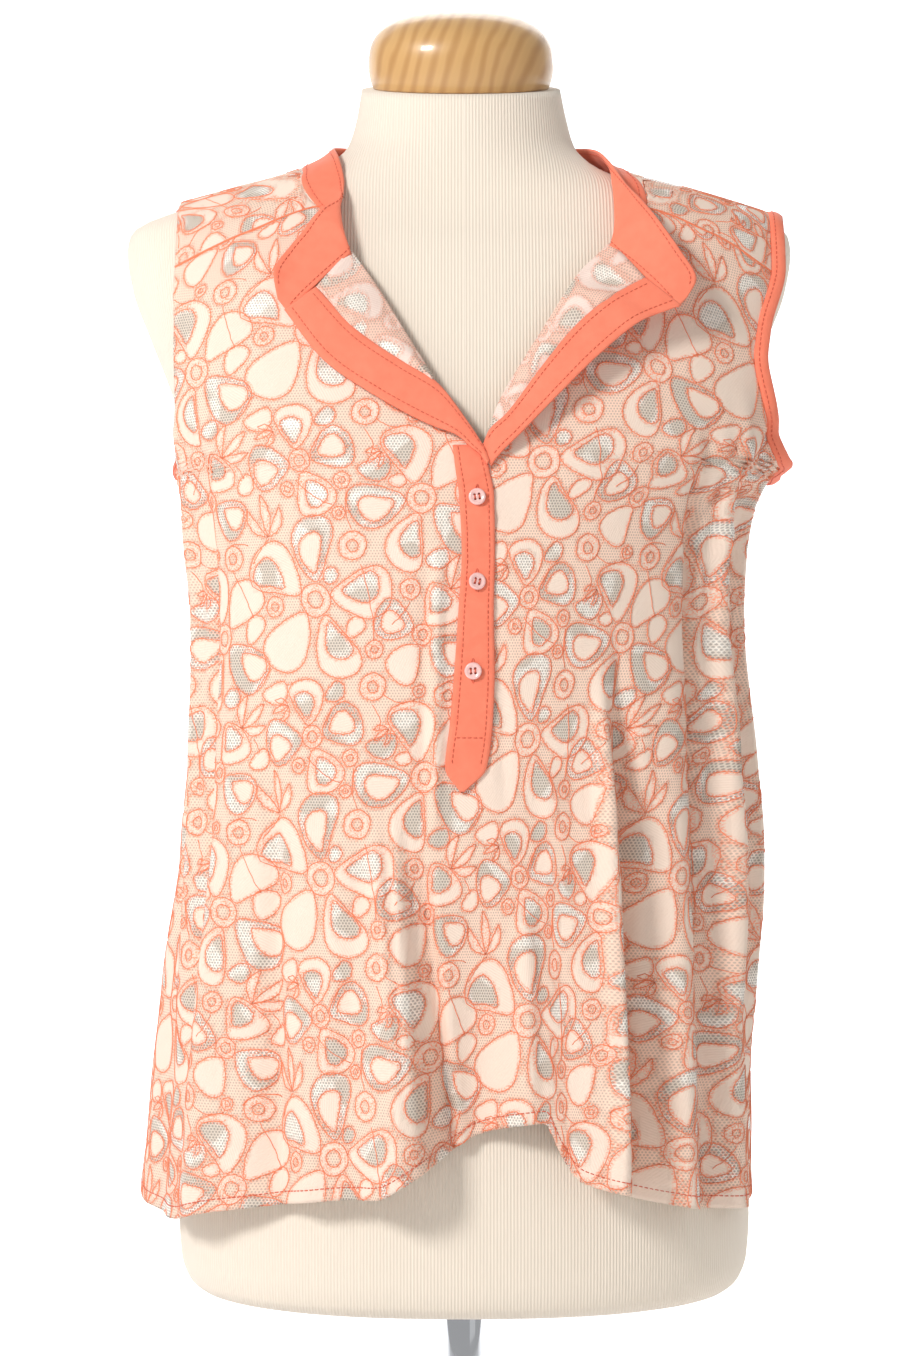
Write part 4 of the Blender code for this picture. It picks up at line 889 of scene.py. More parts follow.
def addNode(tree, kind, settings, values, out=None):
    # adds a node; the values fill its open sockets in order, or by name; gives its named or first open output
    node = tree.nodes.new("ShaderNode" + kind)
    for name, value in settings.items():
        setattr(node, name, value)
    sockets = [socket for socket in node.inputs if socket.enabled]
    if isinstance(values, dict):
        sockets, values = [node.inputs[name] for name in values], values.values()
    for socket, value in zip(sockets, values):
        if isinstance(value, bpy.types.NodeSocket):
            tree.links.new(value, socket)
        else:
            socket.default_value = value
    return node.outputs[out] if out else next(socket for socket in node.outputs if socket.enabled)


def joinUp(tree, surface, sockets):
    for name, value in sockets.items():
        tree.links.new(value, surface.inputs[name])


def newMaterial(name, colour, roughness, **others):
    material = bpy.data.materials.new(name)
    material.use_nodes = True
    surface = material.node_tree.nodes["Principled BSDF"]
    surface.inputs["Base Color"].default_value = paint(colour)
    surface.inputs["Roughness"].default_value = roughness
    for socket, value in others.items():
        surface.inputs[socket.replace("_", " ")].default_value = value
    return material, material.node_tree, surface


def honeycomb(tree, spot, cell):
    # 0 on the threads of a six-sided net, growing to 0.5 in the middle of each mesh
    node = partial(addNode, tree)
    period, half = (1.0, math.sqrt(3.0), 1.0), (0.5, math.sqrt(3.0) / 2, 0.0)
    spot = node("VectorMath", {"operation": "SCALE"}, (spot, 1 / cell))
    moved = node("VectorMath", {"operation": "ADD"}, (spot, half))
    centred = []
    for place in (spot, moved):
        place = node("VectorMath", {"operation": "MODULO"}, (place, period))
        centred.append(node("VectorMath", {"operation": "SUBTRACT"}, (place, half)))
    away = [node("VectorMath", {"operation": "DOT_PRODUCT"}, (place, place)) for place in centred]
    nearer = node("Math", {"operation": "GREATER_THAN"}, away)
    chosen = node("Mix", {"data_type": "VECTOR"}, (nearer, *centred))
    chosen = node("VectorMath", {"operation": "ABSOLUTE"}, (chosen,))
    sides = [node("VectorMath", {"operation": "DOT_PRODUCT"}, (chosen, way))
             for way in ((1.0, 0.0, 0.0), half)]
    return node("Math", {"operation": "SUBTRACT"}, (0.5, node("Math", {"operation": "MAXIMUM"}, sides)))


laceLook = {
    "net": "#F8D6C0",           # peach-coral ground net
    "toile": "#F4DECC",         # dense cream fillings
    "open": "#FBF3E8",          # open fillings' bright white, which is painted glints; the material greys it in patches toward the net's own grey-white
    "edge": "#FB946C",          # rows of coral thread beside each cord
    "wrongNet": "#F3C8B4",
    "wrongToile": "#F1D9CD",
    "wrongEdge": "#F4B49C",
    "cell": 1.8,                # mm; the real mesh is 1.4 mm, coarser here so that it shows in a picture
    "ribs": 4.4,                # turns of the weave's ribs in a millimetre, in radians: 1.4 mm apart
    "netHides": 0.66,           # opacity of the meshes of the ground net and of the open net
    "openHides": 0.50,
}


def makeLaceMaterial():
    # knitted cotton lace: matt dense fillings, coral ground net, shinier open net that glints, with painted
    # white glints in the open net's colour
    material, tree, surface = newMaterial("corded cotton lace", laceLook["toile"], 0.8)
    node = partial(addNode, tree)
    multiply, greatest, colours = {"operation": "MULTIPLY"}, {"operation": "MAXIMUM"}, {"data_type": "RGBA"}
    cloth = node("Attribute", {"attribute_name": "cloth"}, (), "Vector")
    toile, sheer, weave, wrong = (node("Attribute", {"attribute_name": name}, (), "Fac")
                                  for name in ("toile", "sheer", "weave", "wrong"))
    net = honeycomb(tree, cloth, laceLook["cell"])
    # two of these noises mark where the open fillings stay bright white as painted glints; the glint noise
    # also feeds the bump
    cloud, glintPatches, glint, dots = (node("TexNoise", {}, (cloth, scale, detail)) for scale, detail in
                                   ((0.09, 3.0), (0.055, 0.0), (0.5, 2.0), (1.0, 2.0)))
    rib = node("Math", {"operation": "SINE"}, (node("Math", multiply, (weave, laceLook["ribs"])),))
    # where the dense and the open fillings lie, and the broken row of thread along every outline
    dense, open_ = (node("MapRange", {}, (gap, -0.15, 0.15, 1.0, 0.0)) for gap in (toile, sheer))
    band = node("Math", {"operation": "MINIMUM"}, [node("Math", {"operation": "ABSOLUTE"}, (gap,))
                                                   for gap in (toile, sheer)])
    edge = node("Math", multiply, (node("MapRange", {}, (band, 0.9, 1.9, 1.0, 0.0)),
                                   node("MapRange", {}, (dots, 0.44, 0.60, 0.0, 0.85))))
    yarn = {"open": paint(laceLook["open"])}
    for name, other in (("net", "wrongNet"), ("toile", "wrongToile"), ("edge", "wrongEdge")):
        yarn[name] = node("Mix", colours, (wrong, paint(laceLook[name]), paint(laceLook[other])))
    # other tones in the yarn: which yarn, what they follow, from where to where, how strong, tone; the open
    # fillings' greys leave bright white where their noises are low, which is painted glints
    for name, source, low, high, strength, tone in (
            ("net", net, 0.10, 0.30, 0.30, "#F8DFCC"), ("toile", rib, -1.0, 1.0, 0.10, "#E3CBB9"),
            ("toile", cloud, 0.3, 0.7, 0.12, "#F3CBB2"), ("open", glint, 0.42, 0.62, 0.75, "#E2D5C7"),
            ("open", glintPatches, 0.46, 0.54, 0.85, "#D6C7B7")):
        share = node("MapRange", {}, (source, low, high, 0.0, strength))
        yarn[name] = node("Mix", colours, (share, yarn[name], paint(tone)))
    colour = node("Mix", colours, (dense, yarn["net"], yarn["toile"]))
    colour = node("Mix", colours, (open_, colour, yarn["open"]))
    colour = node("Mix", colours, (edge, colour, yarn["edge"]))
    # the meshes of both nets let some of what lies behind show through
    netAlpha = node("MapRange", {}, (net, 0.14, 0.28, 1.0, laceLook["netHides"]))
    openAlpha = node("MapRange", {}, (net, 0.12, 0.26, 1.0, laceLook["openHides"]))
    alpha = node("Mix", {"data_type": "FLOAT"}, (open_, node("Math", greatest, (netAlpha, dense)), openAlpha))
    alpha = node("Math", greatest, (alpha, node("Math", multiply, (edge, 0.9))))
    height = node("Math", multiply, (dense, 0.5))
    for source, rise in ((rib, 0.12), (edge, 0.5), (glint, 0.6)):
        height = node("Math", {"operation": "ADD"}, (height, node("Math", multiply, (source, rise))))
    bump = node("Bump", {}, {"Strength": 0.5, "Distance": 0.0004, "Height": height})
    roughness = node("MapRange", {}, (open_, 0.0, 1.0, 0.82, 0.32))
    joinUp(tree, surface, {"Base Color": colour, "Alpha": alpha, "Roughness": roughness, "Normal": bump})
    return material


def makeClothMaterial(name, colour, darker, pitch, strength, roughness):
    # woven cloth: threads crossing in a fine weave, slightly uneven in dye
    material, tree, surface = newMaterial(name, colour, roughness, Sheen_Weight=0.12, Sheen_Roughness=0.5)
    node = partial(addNode, tree)
    spot = node("TexCoord", {}, (), "Object")
    threads = [node("TexWave", {"bands_direction": way}, (spot, 1 / pitch, 0.6), "Fac") for way in ("X", "Z")]
    crossed = node("Math", {"operation": "MULTIPLY"}, threads)
    uneven = node("TexNoise", {}, (spot, 160.0, 4.0))
    share = node("MapRange", {}, (uneven, 0.3, 0.7, 0.0, 0.5))
    dyed = node("Mix", {"data_type": "RGBA"}, (share, paint(colour), paint(darker)))
    height = node("Math", {"operation": "ADD"}, (crossed, uneven))
    bump = node("Bump", {}, {"Strength": strength, "Distance": 0.0003, "Height": height})
    joinUp(tree, surface, {"Base Color": dyed, "Normal": bump})
    return material


def makeJerseyMaterial():
    # fine ribbed cotton jersey pulled over the shell: upright ribs, matt, a little fuzzy, with painted shade
    # darkening the ribs' grooves
    material, tree, surface = newMaterial("ribbed cotton jersey", "#F7EAD9", 0.9,
                                          Sheen_Weight=0.2, Sheen_Roughness=0.6)
    node = partial(addNode, tree)
    wale = node("Attribute", {"attribute_name": "wale"}, (), "Fac")
    turns = node("Math", {"operation": "MULTIPLY"}, (wale, form["ribs"]))
    rib = node("Math", {"operation": "SINE"}, (turns,))
    # darker toward the ribs' grooves, where the bump dips: painted shade
    share = node("MapRange", {}, (rib, -1.0, 1.0, 0.45, 0.0))
    grooveShadedKnit = node("Mix", {"data_type": "RGBA"}, (share, paint("#F3E6D5"), paint("#E4D3BF")))
    bump = node("Bump", {}, {"Strength": 0.35, "Distance": 0.0004, "Height": rib})
    joinUp(tree, surface, {"Base Color": grooveShadedKnit, "Normal": bump})
    return material


def makeWoodMaterial():
    # turned pine under clear lacquer: bands of growth rings bending over the dome, soft gloss
    material, tree, surface = newMaterial("lacquered pine", "#DDB67E", 0.35, Coat_Weight=0.5,
                                          Coat_Roughness=0.12)
    node = partial(addNode, tree)
    spot = node("TexCoord", {}, (), "Object")
    bent = node("Mapping", {}, {"Vector": spot, "Rotation": (0.0, -0.55, 0.12), "Scale": (1.0, 0.5, 0.55)})
    rings = node("TexWave", {"bands_direction": "X"}, (bent, 40.0, 7.0, 3.0, 0.5), "Fac")
    share = node("MapRange", {}, (rings, 0.3, 1.0, 0.0, 0.55))
    grain = node("Mix", {"data_type": "RGBA"}, (share, paint("#D2A56A"), paint("#AE7A42")))
    joinUp(tree, surface, {"Base Color": grain})
    return material


# metres; outlines are half outlines from the top down
form = {
    "rings": 180, "turns": 240,             # points of the jersey's skin, upward and round
    "lowRings": 24,
    "foot": 0.240, "round": 0.262,          # the torso's underside, and the end of its rounded edge
    "lean": 0.915,                          # from here up the neck's top slants
    "ribs": 3.3,                            # turns of the ribs in a millimetre, in radians: 1.9 mm apart
    "cap": (0.0555, 0.046, 0.88, 2.6),      # radius, height, depth against width, squareness of the dome
    "capX": -0.0018,
    "seat": 0.0003,                         # between the cap and the neck
    "pole": [(0.0115, 0.2995), (0.012, 0.299), (0.012, 0.0208), (0.0115, 0.0203)],
    "plate": [(0.022, 0.02), (0.0285, 0.0195), (0.030, 0.0175), (0.0325, 0.0138), (0.040, 0.0120),
              (0.099, 0.0104), (0.155, 0.0081), (0.1625, 0.0066), (0.165, 0.0046), (0.165, 0.0006),
              (0.1645, 0.0)],
}

laceMaterial = makeLaceMaterial()
cordMaterial = makeClothMaterial("coral corded cotton", "#FB9068", "#F47C52", 0.0009, 0.4, 0.75)
poplin = makeClothMaterial("coral cotton poplin", "#FA8768", "#F4795A", 0.0011, 0.22, 0.75)
threadMaterial = makeClothMaterial("coral sewing thread", "#E4684A", "#D95A3C", 0.0006, 0.3, 0.55)
jersey = makeJerseyMaterial()
pine = makeWoodMaterial()
chrome = newMaterial("polished chrome plating", "#E6E8EC", 0.08, Metallic=1.0)[0]      # mirror-like, bluish
steel = newMaterial("satin steel plate", "#B9BABD", 0.35, Metallic=1.0)[0]
resin = newMaterial("pearly polyester resin", "#F4C4BD", 0.28, Coat_Weight=0.4, Coat_Roughness=0.1)[0]
print("materials made")


# dress form
def makeTorso():
    heights = np.concatenate([np.linspace(form["foot"], form["round"], form["lowRings"])[:-1],
                              np.linspace(form["round"], neckTop, form["rings"])])
    turns = np.linspace(0.0, 360.0, form["turns"], endpoint=False)
    grid = ringPoint(torsoRings, turns[None, :], heights[:, None])
    lean = math.tan(math.radians(neckSlant)) * smoothStep((heights - form["lean"]) / (neckTop - form["lean"]))
    grid[..., 2] += lean[:, None] * grid[..., 1]
    step = np.linalg.norm(np.roll(grid, -1, axis=1) - grid, axis=2)
    girth = np.concatenate([np.zeros((len(grid), 1)), np.cumsum(step, axis=1)], axis=1)
    # millimetres round from the front, both ways, so that the ribs stand upright
    wale = np.minimum(girth[:, :-1], girth[:, -1:] - girth[:, :-1]) * 1000
    return newPiece("torso_jersey", grid.reshape(-1, 3), ringFaces(*grid.shape[:2]), jersey, ["form_torso"],
                    {"wale": wale.reshape(-1)})


def turnedGrid(profile, facets, flat=1.0):
    # rings of points, from the bottom up, out of a half outline written from the top down
    radius, height = np.array(profile)[::-1].T[..., None]
    spin = np.linspace(0, 2 * math.pi, facets, endpoint=False)
    across, depth = radius * np.cos(spin), radius * np.sin(spin) * flat
    return np.stack([across, depth, np.broadcast_to(height, across.shape)], axis=-1)


def lathe(name, profile, facets, material, replaced, place=(0, 0, 0), slant=0.0, flat=1.0):
    grid = turnedGrid(profile, facets, flat)
    cosine, sine = math.cos(slant), math.sin(slant)
    tilt = np.array([[1, 0, 0], [0, cosine, sine], [0, -sine, cosine]])
    points = grid.reshape(-1, 3) @ tilt + np.array(place)
    return newPiece(name, points, ringFaces(*grid.shape[:2]), material, replaced)


def makeStand():
    radius, height, flat, square = form["cap"]
    belly, rim, power = 0.30 * height, 0.95 * radius, 2 / square
    profile = []
    for step in np.linspace(math.pi / 2 - 0.01, 0.0, 40):
        profile.append((radius * math.cos(step) ** power, belly + (height - belly) * math.sin(step) ** power))
    for step in np.linspace(0, 1, 12)[1:]:
        profile.append((blend(radius, rim, step**2.2), belly * (1 - step)))
    slant = math.radians(neckSlant)
    middle = sum(ringPoint(torsoRings, turn, neckTop)[1] for turn in (0.0, 180.0)) / 2
    lift = form["seat"] / math.cos(slant) + middle * math.tan(slant)
    lathe("neck_cap_turned", profile, 120, pine, ["form_neck_cap"],
          (form["capX"], middle, neckTop + lift), slant, flat)
    lathe("pole_tube", form["pole"], 72, chrome, ["form_pole"])
    lathe("foot_plate", form["plate"], 160, steel, ["form_foot"])


torso = makeTorso()
makeStand()
print("dress form made")


# lace panels
def clothLengths(grid, smooth, innerU, hemV, outward):
    # flat coordinates of a panel whose columns run outward from its middle and whose rows run up from the
    # hem, measured on its smooth form and stretched to the length of each folded row
    folded = np.linalg.norm(np.diff(grid, axis=1), axis=2).sum(1)
    across = np.linalg.norm(np.diff(smooth, axis=1), axis=2)
    across = across * (folded / across.sum(1))[:, None]
    rows, columns = smooth.shape[:2]
    run = np.concatenate([np.zeros((rows, 1)), np.cumsum(across, axis=1)], axis=1)
    climb = np.diff(smooth, axis=0)
    rowWay = unit(np.gradient(smooth, axis=1) * np.array([1.0, 1.0, 0.0]))[1:]
    rise = np.sqrt(np.maximum((climb**2).sum(-1) - ((climb * rowWay).sum(-1)) ** 2, 0.0))
    v = hemV[None, :] + np.concatenate([np.zeros((1, columns)), np.cumsum(rise, axis=0)], axis=0)
    return np.stack([innerU[:, None] + outward * run, v], axis=-1)


def hemRows():
    # the turned hem inside, from its raw edge down and round to the fold: rise above the hem, step inward
    turn = lace["hemTurn"]
    return np.array([(turn, 0.0013), (turn * 0.75, 0.0013), (turn * 0.5, 0.0013), (turn * 0.25, 0.0013),
                     (0.0009, 0.0011), (0.0002, 0.0006)])


def panelWithHem(pointOf, side, across, ups):
    # one side of a panel from its middle outward, with its flat coordinates and its turned hem
    hem, isBack = hemRows(), pointOf is backPoint
    main, smooth = (pointOf(side, across[None, :], ups[:, None], folded=folded) for folded in (True, False))
    under = pointOf(side, across[None, :], np.zeros((len(hem), 1)), hem[:, :1], hem[:, 1:])
    if isBack:
        main, smooth, under = main[:, ::-1], smooth[:, ::-1], under[:, ::-1]
    start = np.zeros(len(main)) if isBack else main[:, 0, 0] - vX
    flat = clothLengths(main, smooth, start, main[0, :, 2], side)
    underFlat = np.repeat(flat[:1], len(hem), axis=0)
    underFlat[..., 1] -= hem[:, :1]
    return np.concatenate([under, main]), np.concatenate([underFlat, flat])


def makeFrontGrids():
    columns, rows, more = (int(span / lace["grid"]) for span in lace["frontSpans"])
    across = np.linspace(0.0, 1.0, columns)
    ups = np.concatenate([np.linspace(0, 1, rows), 1 + np.linspace(0, 1, more)[1:]])
    atV = len(hemRows()) + rows - 1
    grids, flats, wrongs = [], [], []
    for side in (-1, 1):
        main, flat = panelWithHem(frontPoint, side, across, ups)
        lapel, lapelFlat = lapelGrid(side, main[atV:, 0], flat[atV:, 0])
        for grid, spread, wrong in ((main, flat, 0.0), (lapel, lapelFlat, 1.0)):
            tint = np.full((*grid.shape[:2], 1), wrong)
            if (side > 0) == bool(wrong):
                grid, spread = grid[:, ::-1], spread[:, ::-1]
            if wrong:
                # the roll line still shows the right side
                tint[:, 0 if side < 0 else -1] = 0.0
            grids.append(grid)
            flats.append(spread)
            wrongs.append(tint)
    return grids, flats, wrongs


lapelStart = {-1: 0.43, 1: 0.05}        # share along the coral strip from which the lace turns back


def lapelGrid(side, edge, edgeFlat):
    # the turned-back part of one front: from its roll line round and down to the coral strip
    lapel, first = lapelOf(side), lapelStart[side]
    places = np.linspace(first, 1.0, 400)
    place = np.interp(edge[:, 2], read(lapel, "rollZ", places), places)
    chosen = edge[:, 2] >= float(read(lapel, "rollZ", first))
    place, edge, edgeFlat = place[chosen], edge[chosen], edgeFlat[chosen]
    radius, flatter, belly = rollLift / 2 + 0.0002, 0.8, 0.0022
    columns = [edge]
    for angle in np.linspace(0, math.pi, 7)[1:]:
        inward, forward = radius * math.sin(angle) * flatter, radius * (1 - math.cos(angle))
        columns.append(edge + np.array([-side * inward, -forward, 0.0]))
    endX, endZ, endLift = (read(lapel, name, place) for name in ("innerX", "innerZ", "innerLift"))
    for share in np.linspace(0, 1, 14)[1:]:
        puff = belly * math.sin(math.pi * share) * smoothStep(place / 0.5)
        lift = blend(2 * radius, endLift, share) + puff + lapelDents(side, place, share)
        columns.append(overFront(blend(edge[:, 0], endX, share), blend(edge[:, 2], endZ, share), lift))
    grid = np.stack(columns, axis=1)
    run = np.concatenate([np.zeros((len(edge), 1)),
                          np.cumsum(np.linalg.norm(np.diff(grid, axis=1), axis=2), axis=1)], axis=1)
    along = unit(np.gradient(edge[:, [0, 2]], axis=0))
    way = unit(grid[:, -1][:, [0, 2]] - edge[:, [0, 2]] + np.array([side * 1e-6, 0.0]))
    way = 2 * (way * along).sum(-1, keepdims=True) * along - way
    flat = edgeFlat[:, None, :] + run[..., None] * way[:, None, :]
    return grid, flat


# soft dents of the turned-back fronts: place along, share across, depth, and how far each reaches
dents = {
    -1: [(0.93, 0.5, -0.0022, 0.04, 0.5), (0.84, 0.8, 0.0012, 0.05, 0.5), (0.70, 0.4, -0.0010, 0.05, 0.6)],
    1: [(0.86, 0.5, -0.0030, 0.05, 0.6), (0.78, 0.7, 0.0020, 0.05, 0.5), (0.55, 0.5, -0.0016, 0.06, 0.6),
        (0.36, 0.5, 0.0012, 0.06, 0.6)],
}


def lapelDents(side, place, share):
    total = 0.0
    for middle, across, depth, reach, width in dents[side]:
        away = ((place - middle - 0.06 * (share - across)) / reach) ** 2 + ((share - across) / width) ** 2
        total = total + depth * np.exp(-away)
    return total


def makeBackGrid():
    columns, *counts = (int(span / lace["backGrid"]) for span in lace["backSpans"])
    inward = np.linspace(0.0, 1.0, columns)
    ups = np.concatenate([np.linspace(k, k + 1, count)[(k > 0):] for k, count in enumerate(counts)])
    (right, rightFlat), (left, leftFlat) = (panelWithHem(backPoint, side, inward, ups) for side in (1, -1))
    return (np.concatenate([right[:, ::-1], left[:, 1:]], axis=1),
            np.concatenate([rightFlat[:, ::-1], leftFlat[:, 1:]], axis=1))


def makeLacePanel(name, grids, flats, wrongs, start, replaced):
    points, faces, layers = weldGrids(grids, {"flat": flats, "wrong": wrongs})
    uv = layers["flat"] * 1000.0
    shapes, cords = repeatShapes
    toile, sheer, weave = paintRepeat(uv, shapes, start)
    shell, shellFaces, normals = clothShell(points, faces, lace["wall"])
    cloth = np.concatenate([uv + lace["away"], np.zeros((len(uv), 1))], axis=1)
    both = {"cloth": cloth, "toile": toile, "sheer": sheer, "weave": weave, "wrong": layers["wrong"].ravel()}
    both = {key: np.concatenate([value, value]) for key, value in both.items()}
    panel = newPiece(name, shell, shellFaces, laceMaterial, replaced, both)
    lines = layCords(points, faces, normals, uv, cords, start, lace["wall"] * 0.3)
    cordPoints, cordFaces = tubes(lines, lace["cord"], 3)
    newPiece(name + "_cords", cordPoints, cordFaces, cordMaterial, ())
    print(name, "faces", len(shellFaces), "cord faces", len(cordFaces))
    return panel


repeatShapes = drawRepeat()
frontGrids, frontFlats, frontWrongs = makeFrontGrids()
frontPanel = makeLacePanel("front_lace_cloth", frontGrids, frontFlats, frontWrongs, lace["front"],
                           ["front_lace", "front_turnback_left", "front_turnback_right"])
backGrid, backFlat = makeBackGrid()
backPanel = makeLacePanel("back_lace_cloth", [backGrid], [backFlat], [np.zeros((*backGrid.shape[:2], 1))],
                          lace["back"], ["back_lace"])
print("lace made")


# stitches
stitch = {"length": 0.0026, "gap": 0.0005, "radius": 0.0003, "dip": -0.0003}      # metres


def evenLine(points, spacing):
    run = runOf(points)
    return sample(np.linspace(0, run[-1], max(2, int(run[-1] / spacing))), run, points)


def stitchLines(points, normals, lift):
    # a run of stitches as short arched threads whose ends dip into the cloth
    run, lines = runOf(points), []
    length, start = stitch["length"], stitch["gap"]
    while start + length < run[-1]:
        at = start + length * np.array([0.0, 0.2, 0.8, 1.0])
        up = unit(sample(at, run, normals))
        rise = np.array([stitch["dip"], lift, lift, stitch["dip"]])[:, None]
        lines.append((sample(at, run, points) + up * rise, up, False))
        start += length + stitch["gap"]
    return lines


def makeThreads(name, lines, radius, material, sides):
    points, faces = tubes(lines, radius, sides)
    return newPiece(name, points, faces, material, ())


# coral trims
trims = {
    "wall": 0.0015,
    "bandStitchIn": 0.0026, "bandTuck": 0.0016,     # the collar's stitches, and its seam edge in the cloth
    "placketGap": 0.0008,                           # between the placket and the front
    "placket": (0.5409, 0.7340),                    # its foot and top
    "placketRow": 0.5707,                           # height of the row of stitches across it
    "underlap": 0.0085,                             # half its width
    "puff": 0.0011,                                 # roundness of the armhole bindings
    # puckers of the placket: height, slope, depth, reach
    "puckers": [(0.7125, 0.5, -0.0007, 0.0030), (0.6990, -0.4, 0.0006, 0.0035),
                (0.6690, 0.5, -0.0005, 0.0035), (0.6480, -0.5, 0.0005, 0.0040),
                (0.6220, 0.4, -0.0005, 0.0040), (0.5950, -0.3, 0.0004, 0.0040)],
}
stitchOut = trims["wall"] / 2 + 0.0002


def trimPiece(name, grid, replaced, wrap=False):
    points, faces = shellOf(grid, trims["wall"], wrap)
    return newPiece(name, points, faces, poplin, replaced)


def makeStrip(side):
    lapel, columns = lapelOf(side), 13
    place = np.linspace(0.0, 1.0, 150)[:, None]
    share = np.linspace(0.0, 1.0, columns)[None, :]
    x, z, lift = (blend(read(lapel, "inner" + tail, place), read(lapel, "outer" + tail, place), share)
                  for tail in ("X", "Z", "Lift"))
    puff = 0.0005 * np.sin(math.pi * share) + 0.35 * lapelDents(side, place, 0.9)
    grid = overFront(x, z, lift + puff)
    stitches = []
    normal = gridNormals(grid)
    sign = -1.0 if normal[..., 1].mean() > 0 else 1.0
    for spot in (0.16, 0.84):
        column = round(spot * (columns - 1))
        stitches += stitchLines(grid[6:, column], sign * normal[6:, column], stitchOut)
    name = "left" if side < 0 else "right"
    trimPiece("front_strip_" + name, grid if sign > 0 else grid[:, ::-1], ["placket_" + name])
    return stitches


def makePlacket():
    height = np.linspace(*trims["placket"], 130)[:, None]
    share = np.linspace(0.0, 1.0, 15)[None, :]
    x = blend(read(placketEdges, "leftX", height), read(placketEdges, "rightX", height), share)
    lift = lace["wall"] / 2 + trims["wall"] / 2 + trims["placketGap"]
    pucker = 0.0
    for z, slope, depth, reach in trims["puckers"]:
        pucker = pucker + depth * np.exp(-(((height - z) - slope * (x - 0.005)) / reach) ** 2)
    ripple = 0.0003 * np.sin(height * 420.0) * (share - 0.5) * 2
    grid = overFront(x, height, lift + pucker + ripple + 0.0003 * np.sin(math.pi * share))
    trimPiece("placket_overlap_cloth", grid, ["placket_overlap"])
    normal = gridNormals(grid)
    stitches = []
    for column in (2, 12):
        stitches += stitchLines(grid[10:, column], normal[10:, column], stitchOut)
    row = int(np.argmin(np.abs(height[:, 0] - trims["placketRow"])))
    stitches += stitchLines(grid[row, 2:13], normal[row, 2:13], stitchOut)
    low = np.linspace(slitFoot + 0.004, vHeight - 0.008, 60)[:, None]
    across = placketMiddle(low) + trims["underlap"] * np.linspace(-1, 1, 7)[None, :]
    trimPiece("placket_underlap_cloth", overFront(across, low, -(lift + 0.0003)), ["placket_underlap"])
    return stitches, lift


def bandSeam(place):
    # the collar's sewn edge: over the turned-back corners, along the shoulder seams, round the neck
    inward = np.minimum(place, 1.0 - place)
    result = np.zeros((len(place), 3))
    for side, chosen in ((-1, place < 0.5), (1, place >= 0.5)):
        lapel = lapelOf(side)
        share = np.clip(inward / bandEnds, 0, 1)
        x = blend(read(lapel, "outerX", 1.0), read(lapel, "rollX", 1.0), share)
        z = blend(read(lapel, "outerZ", 1.0), read(lapel, "rollZ", 1.0), share)
        end = overFront(x, z, blend(read(lapel, "outerLift", 1.0), 2 * rollLift, share))
        share = np.clip((inward - bandEnds) / (bandStand - bandEnds), 0, 1)
        base = frontPoint(side, seamStart * share, np.full(share.shape, 2.0))
        base[:, 1] -= 2 * rollLift * (1.0 - share)
        behind = necklinePoint(side, np.clip((inward - bandStand) / (0.5 - bandStand), 0, 1))
        rest = np.where((inward < bandStand)[:, None], base, behind)
        result[chosen] = np.where((inward < bandEnds)[:, None], end, rest)[chosen]
    return result


def makeCollar():
    place = np.interp(np.linspace(0, 1, 330), (0, 0.25, 0.75, 1), (0, 0.33, 0.67, 1))
    seam = bandSeam(place)
    crest, edge = (np.stack([read(bandLine, line + axis, place) for axis in "XYZ"], axis=1)
                   for line in ("crest", "edge"))
    seam = seam - unit(crest - seam) * trims["bandTuck"]
    columns, rounding = [], 0.20
    for t in np.linspace(0, 1, 23):
        if t < 0.5 - rounding:
            columns.append(blend(seam, crest, t / 0.5))
        elif t > 0.5 + rounding:
            columns.append(blend(crest, edge, (t - 0.5) / 0.5))
        else:
            start, end = blend(seam, crest, (0.5 - rounding) / 0.5), blend(crest, edge, rounding / 0.5)
            s = (t - 0.5 + rounding) / (2 * rounding)
            columns.append((1 - s) ** 2 * start + 2 * s * (1 - s) * crest + s * s * end)
    grid = np.stack(columns, axis=1)
    normal = gridNormals(grid)
    trimPiece("collar_band_cloth", grid, ["collar_band"])
    stitches = []
    span = np.linalg.norm(edge - crest, axis=1)
    t = np.clip(trims["bandStitchIn"] / np.maximum(span, 0.004), 0.1, 0.45)
    line = blend(edge, crest, t[:, None])
    for sign in (-1, 1):
        stitches += stitchLines(line[8:-8], sign * normal[8:-8, 20], stitchOut)
        stitches += stitchLines(grid[4:-4, 2], sign * normal[4:-4, 2], stitchOut)
    return stitches


def clothNormal(points):
    # which way the cloth's rings face, from their steepest slope
    def level(x, y, z):
        width, depth, square = ringSizes(clothRings, x, y, z)
        return (np.abs(x) / width) ** square + (np.abs(y) / depth) ** square

    slopes = [level(*(points + step).T) - level(*(points - step).T) for step in 0.0004 * np.eye(3)]
    return unit(np.stack(slopes, axis=-1))


# the bindings' two edges along the armhole: steps towards its middle and outward
bindingColumns = ("place", "nearIn", "nearOut", "farIn", "farOut")
bindingTables = {
    1: (bindingColumns,
        [(0.0, -0.0010, 0.0007, 0.0050, 0.0046), (0.40, -0.0010, 0.0007, 0.0050, 0.0046),
         (0.50, -0.0010, 0.0007, 0.0072, 0.0010), (0.94, -0.0010, 0.0007, 0.0072, 0.0002),
         (1.0, -0.0010, 0.0007, 0.0050, 0.0046)]),
    -1: (bindingColumns,
         [(0.0, 0.0, 0.0004, 0.0072, 0.0), (0.06, 0.0004, -0.0005, 0.0060, -0.0020),
          (0.12, 0.0002, -0.0018, -0.0062, -0.0025), (0.36, 0.0002, -0.0018, -0.0062, -0.0025),
          (0.44, 0.0009, -0.0013, 0.0010, -0.0060), (0.52, 0.0002, 0.0003, 0.0074, 0.0),
          (1.0, 0.0, 0.0004, 0.0072, 0.0)]),
}


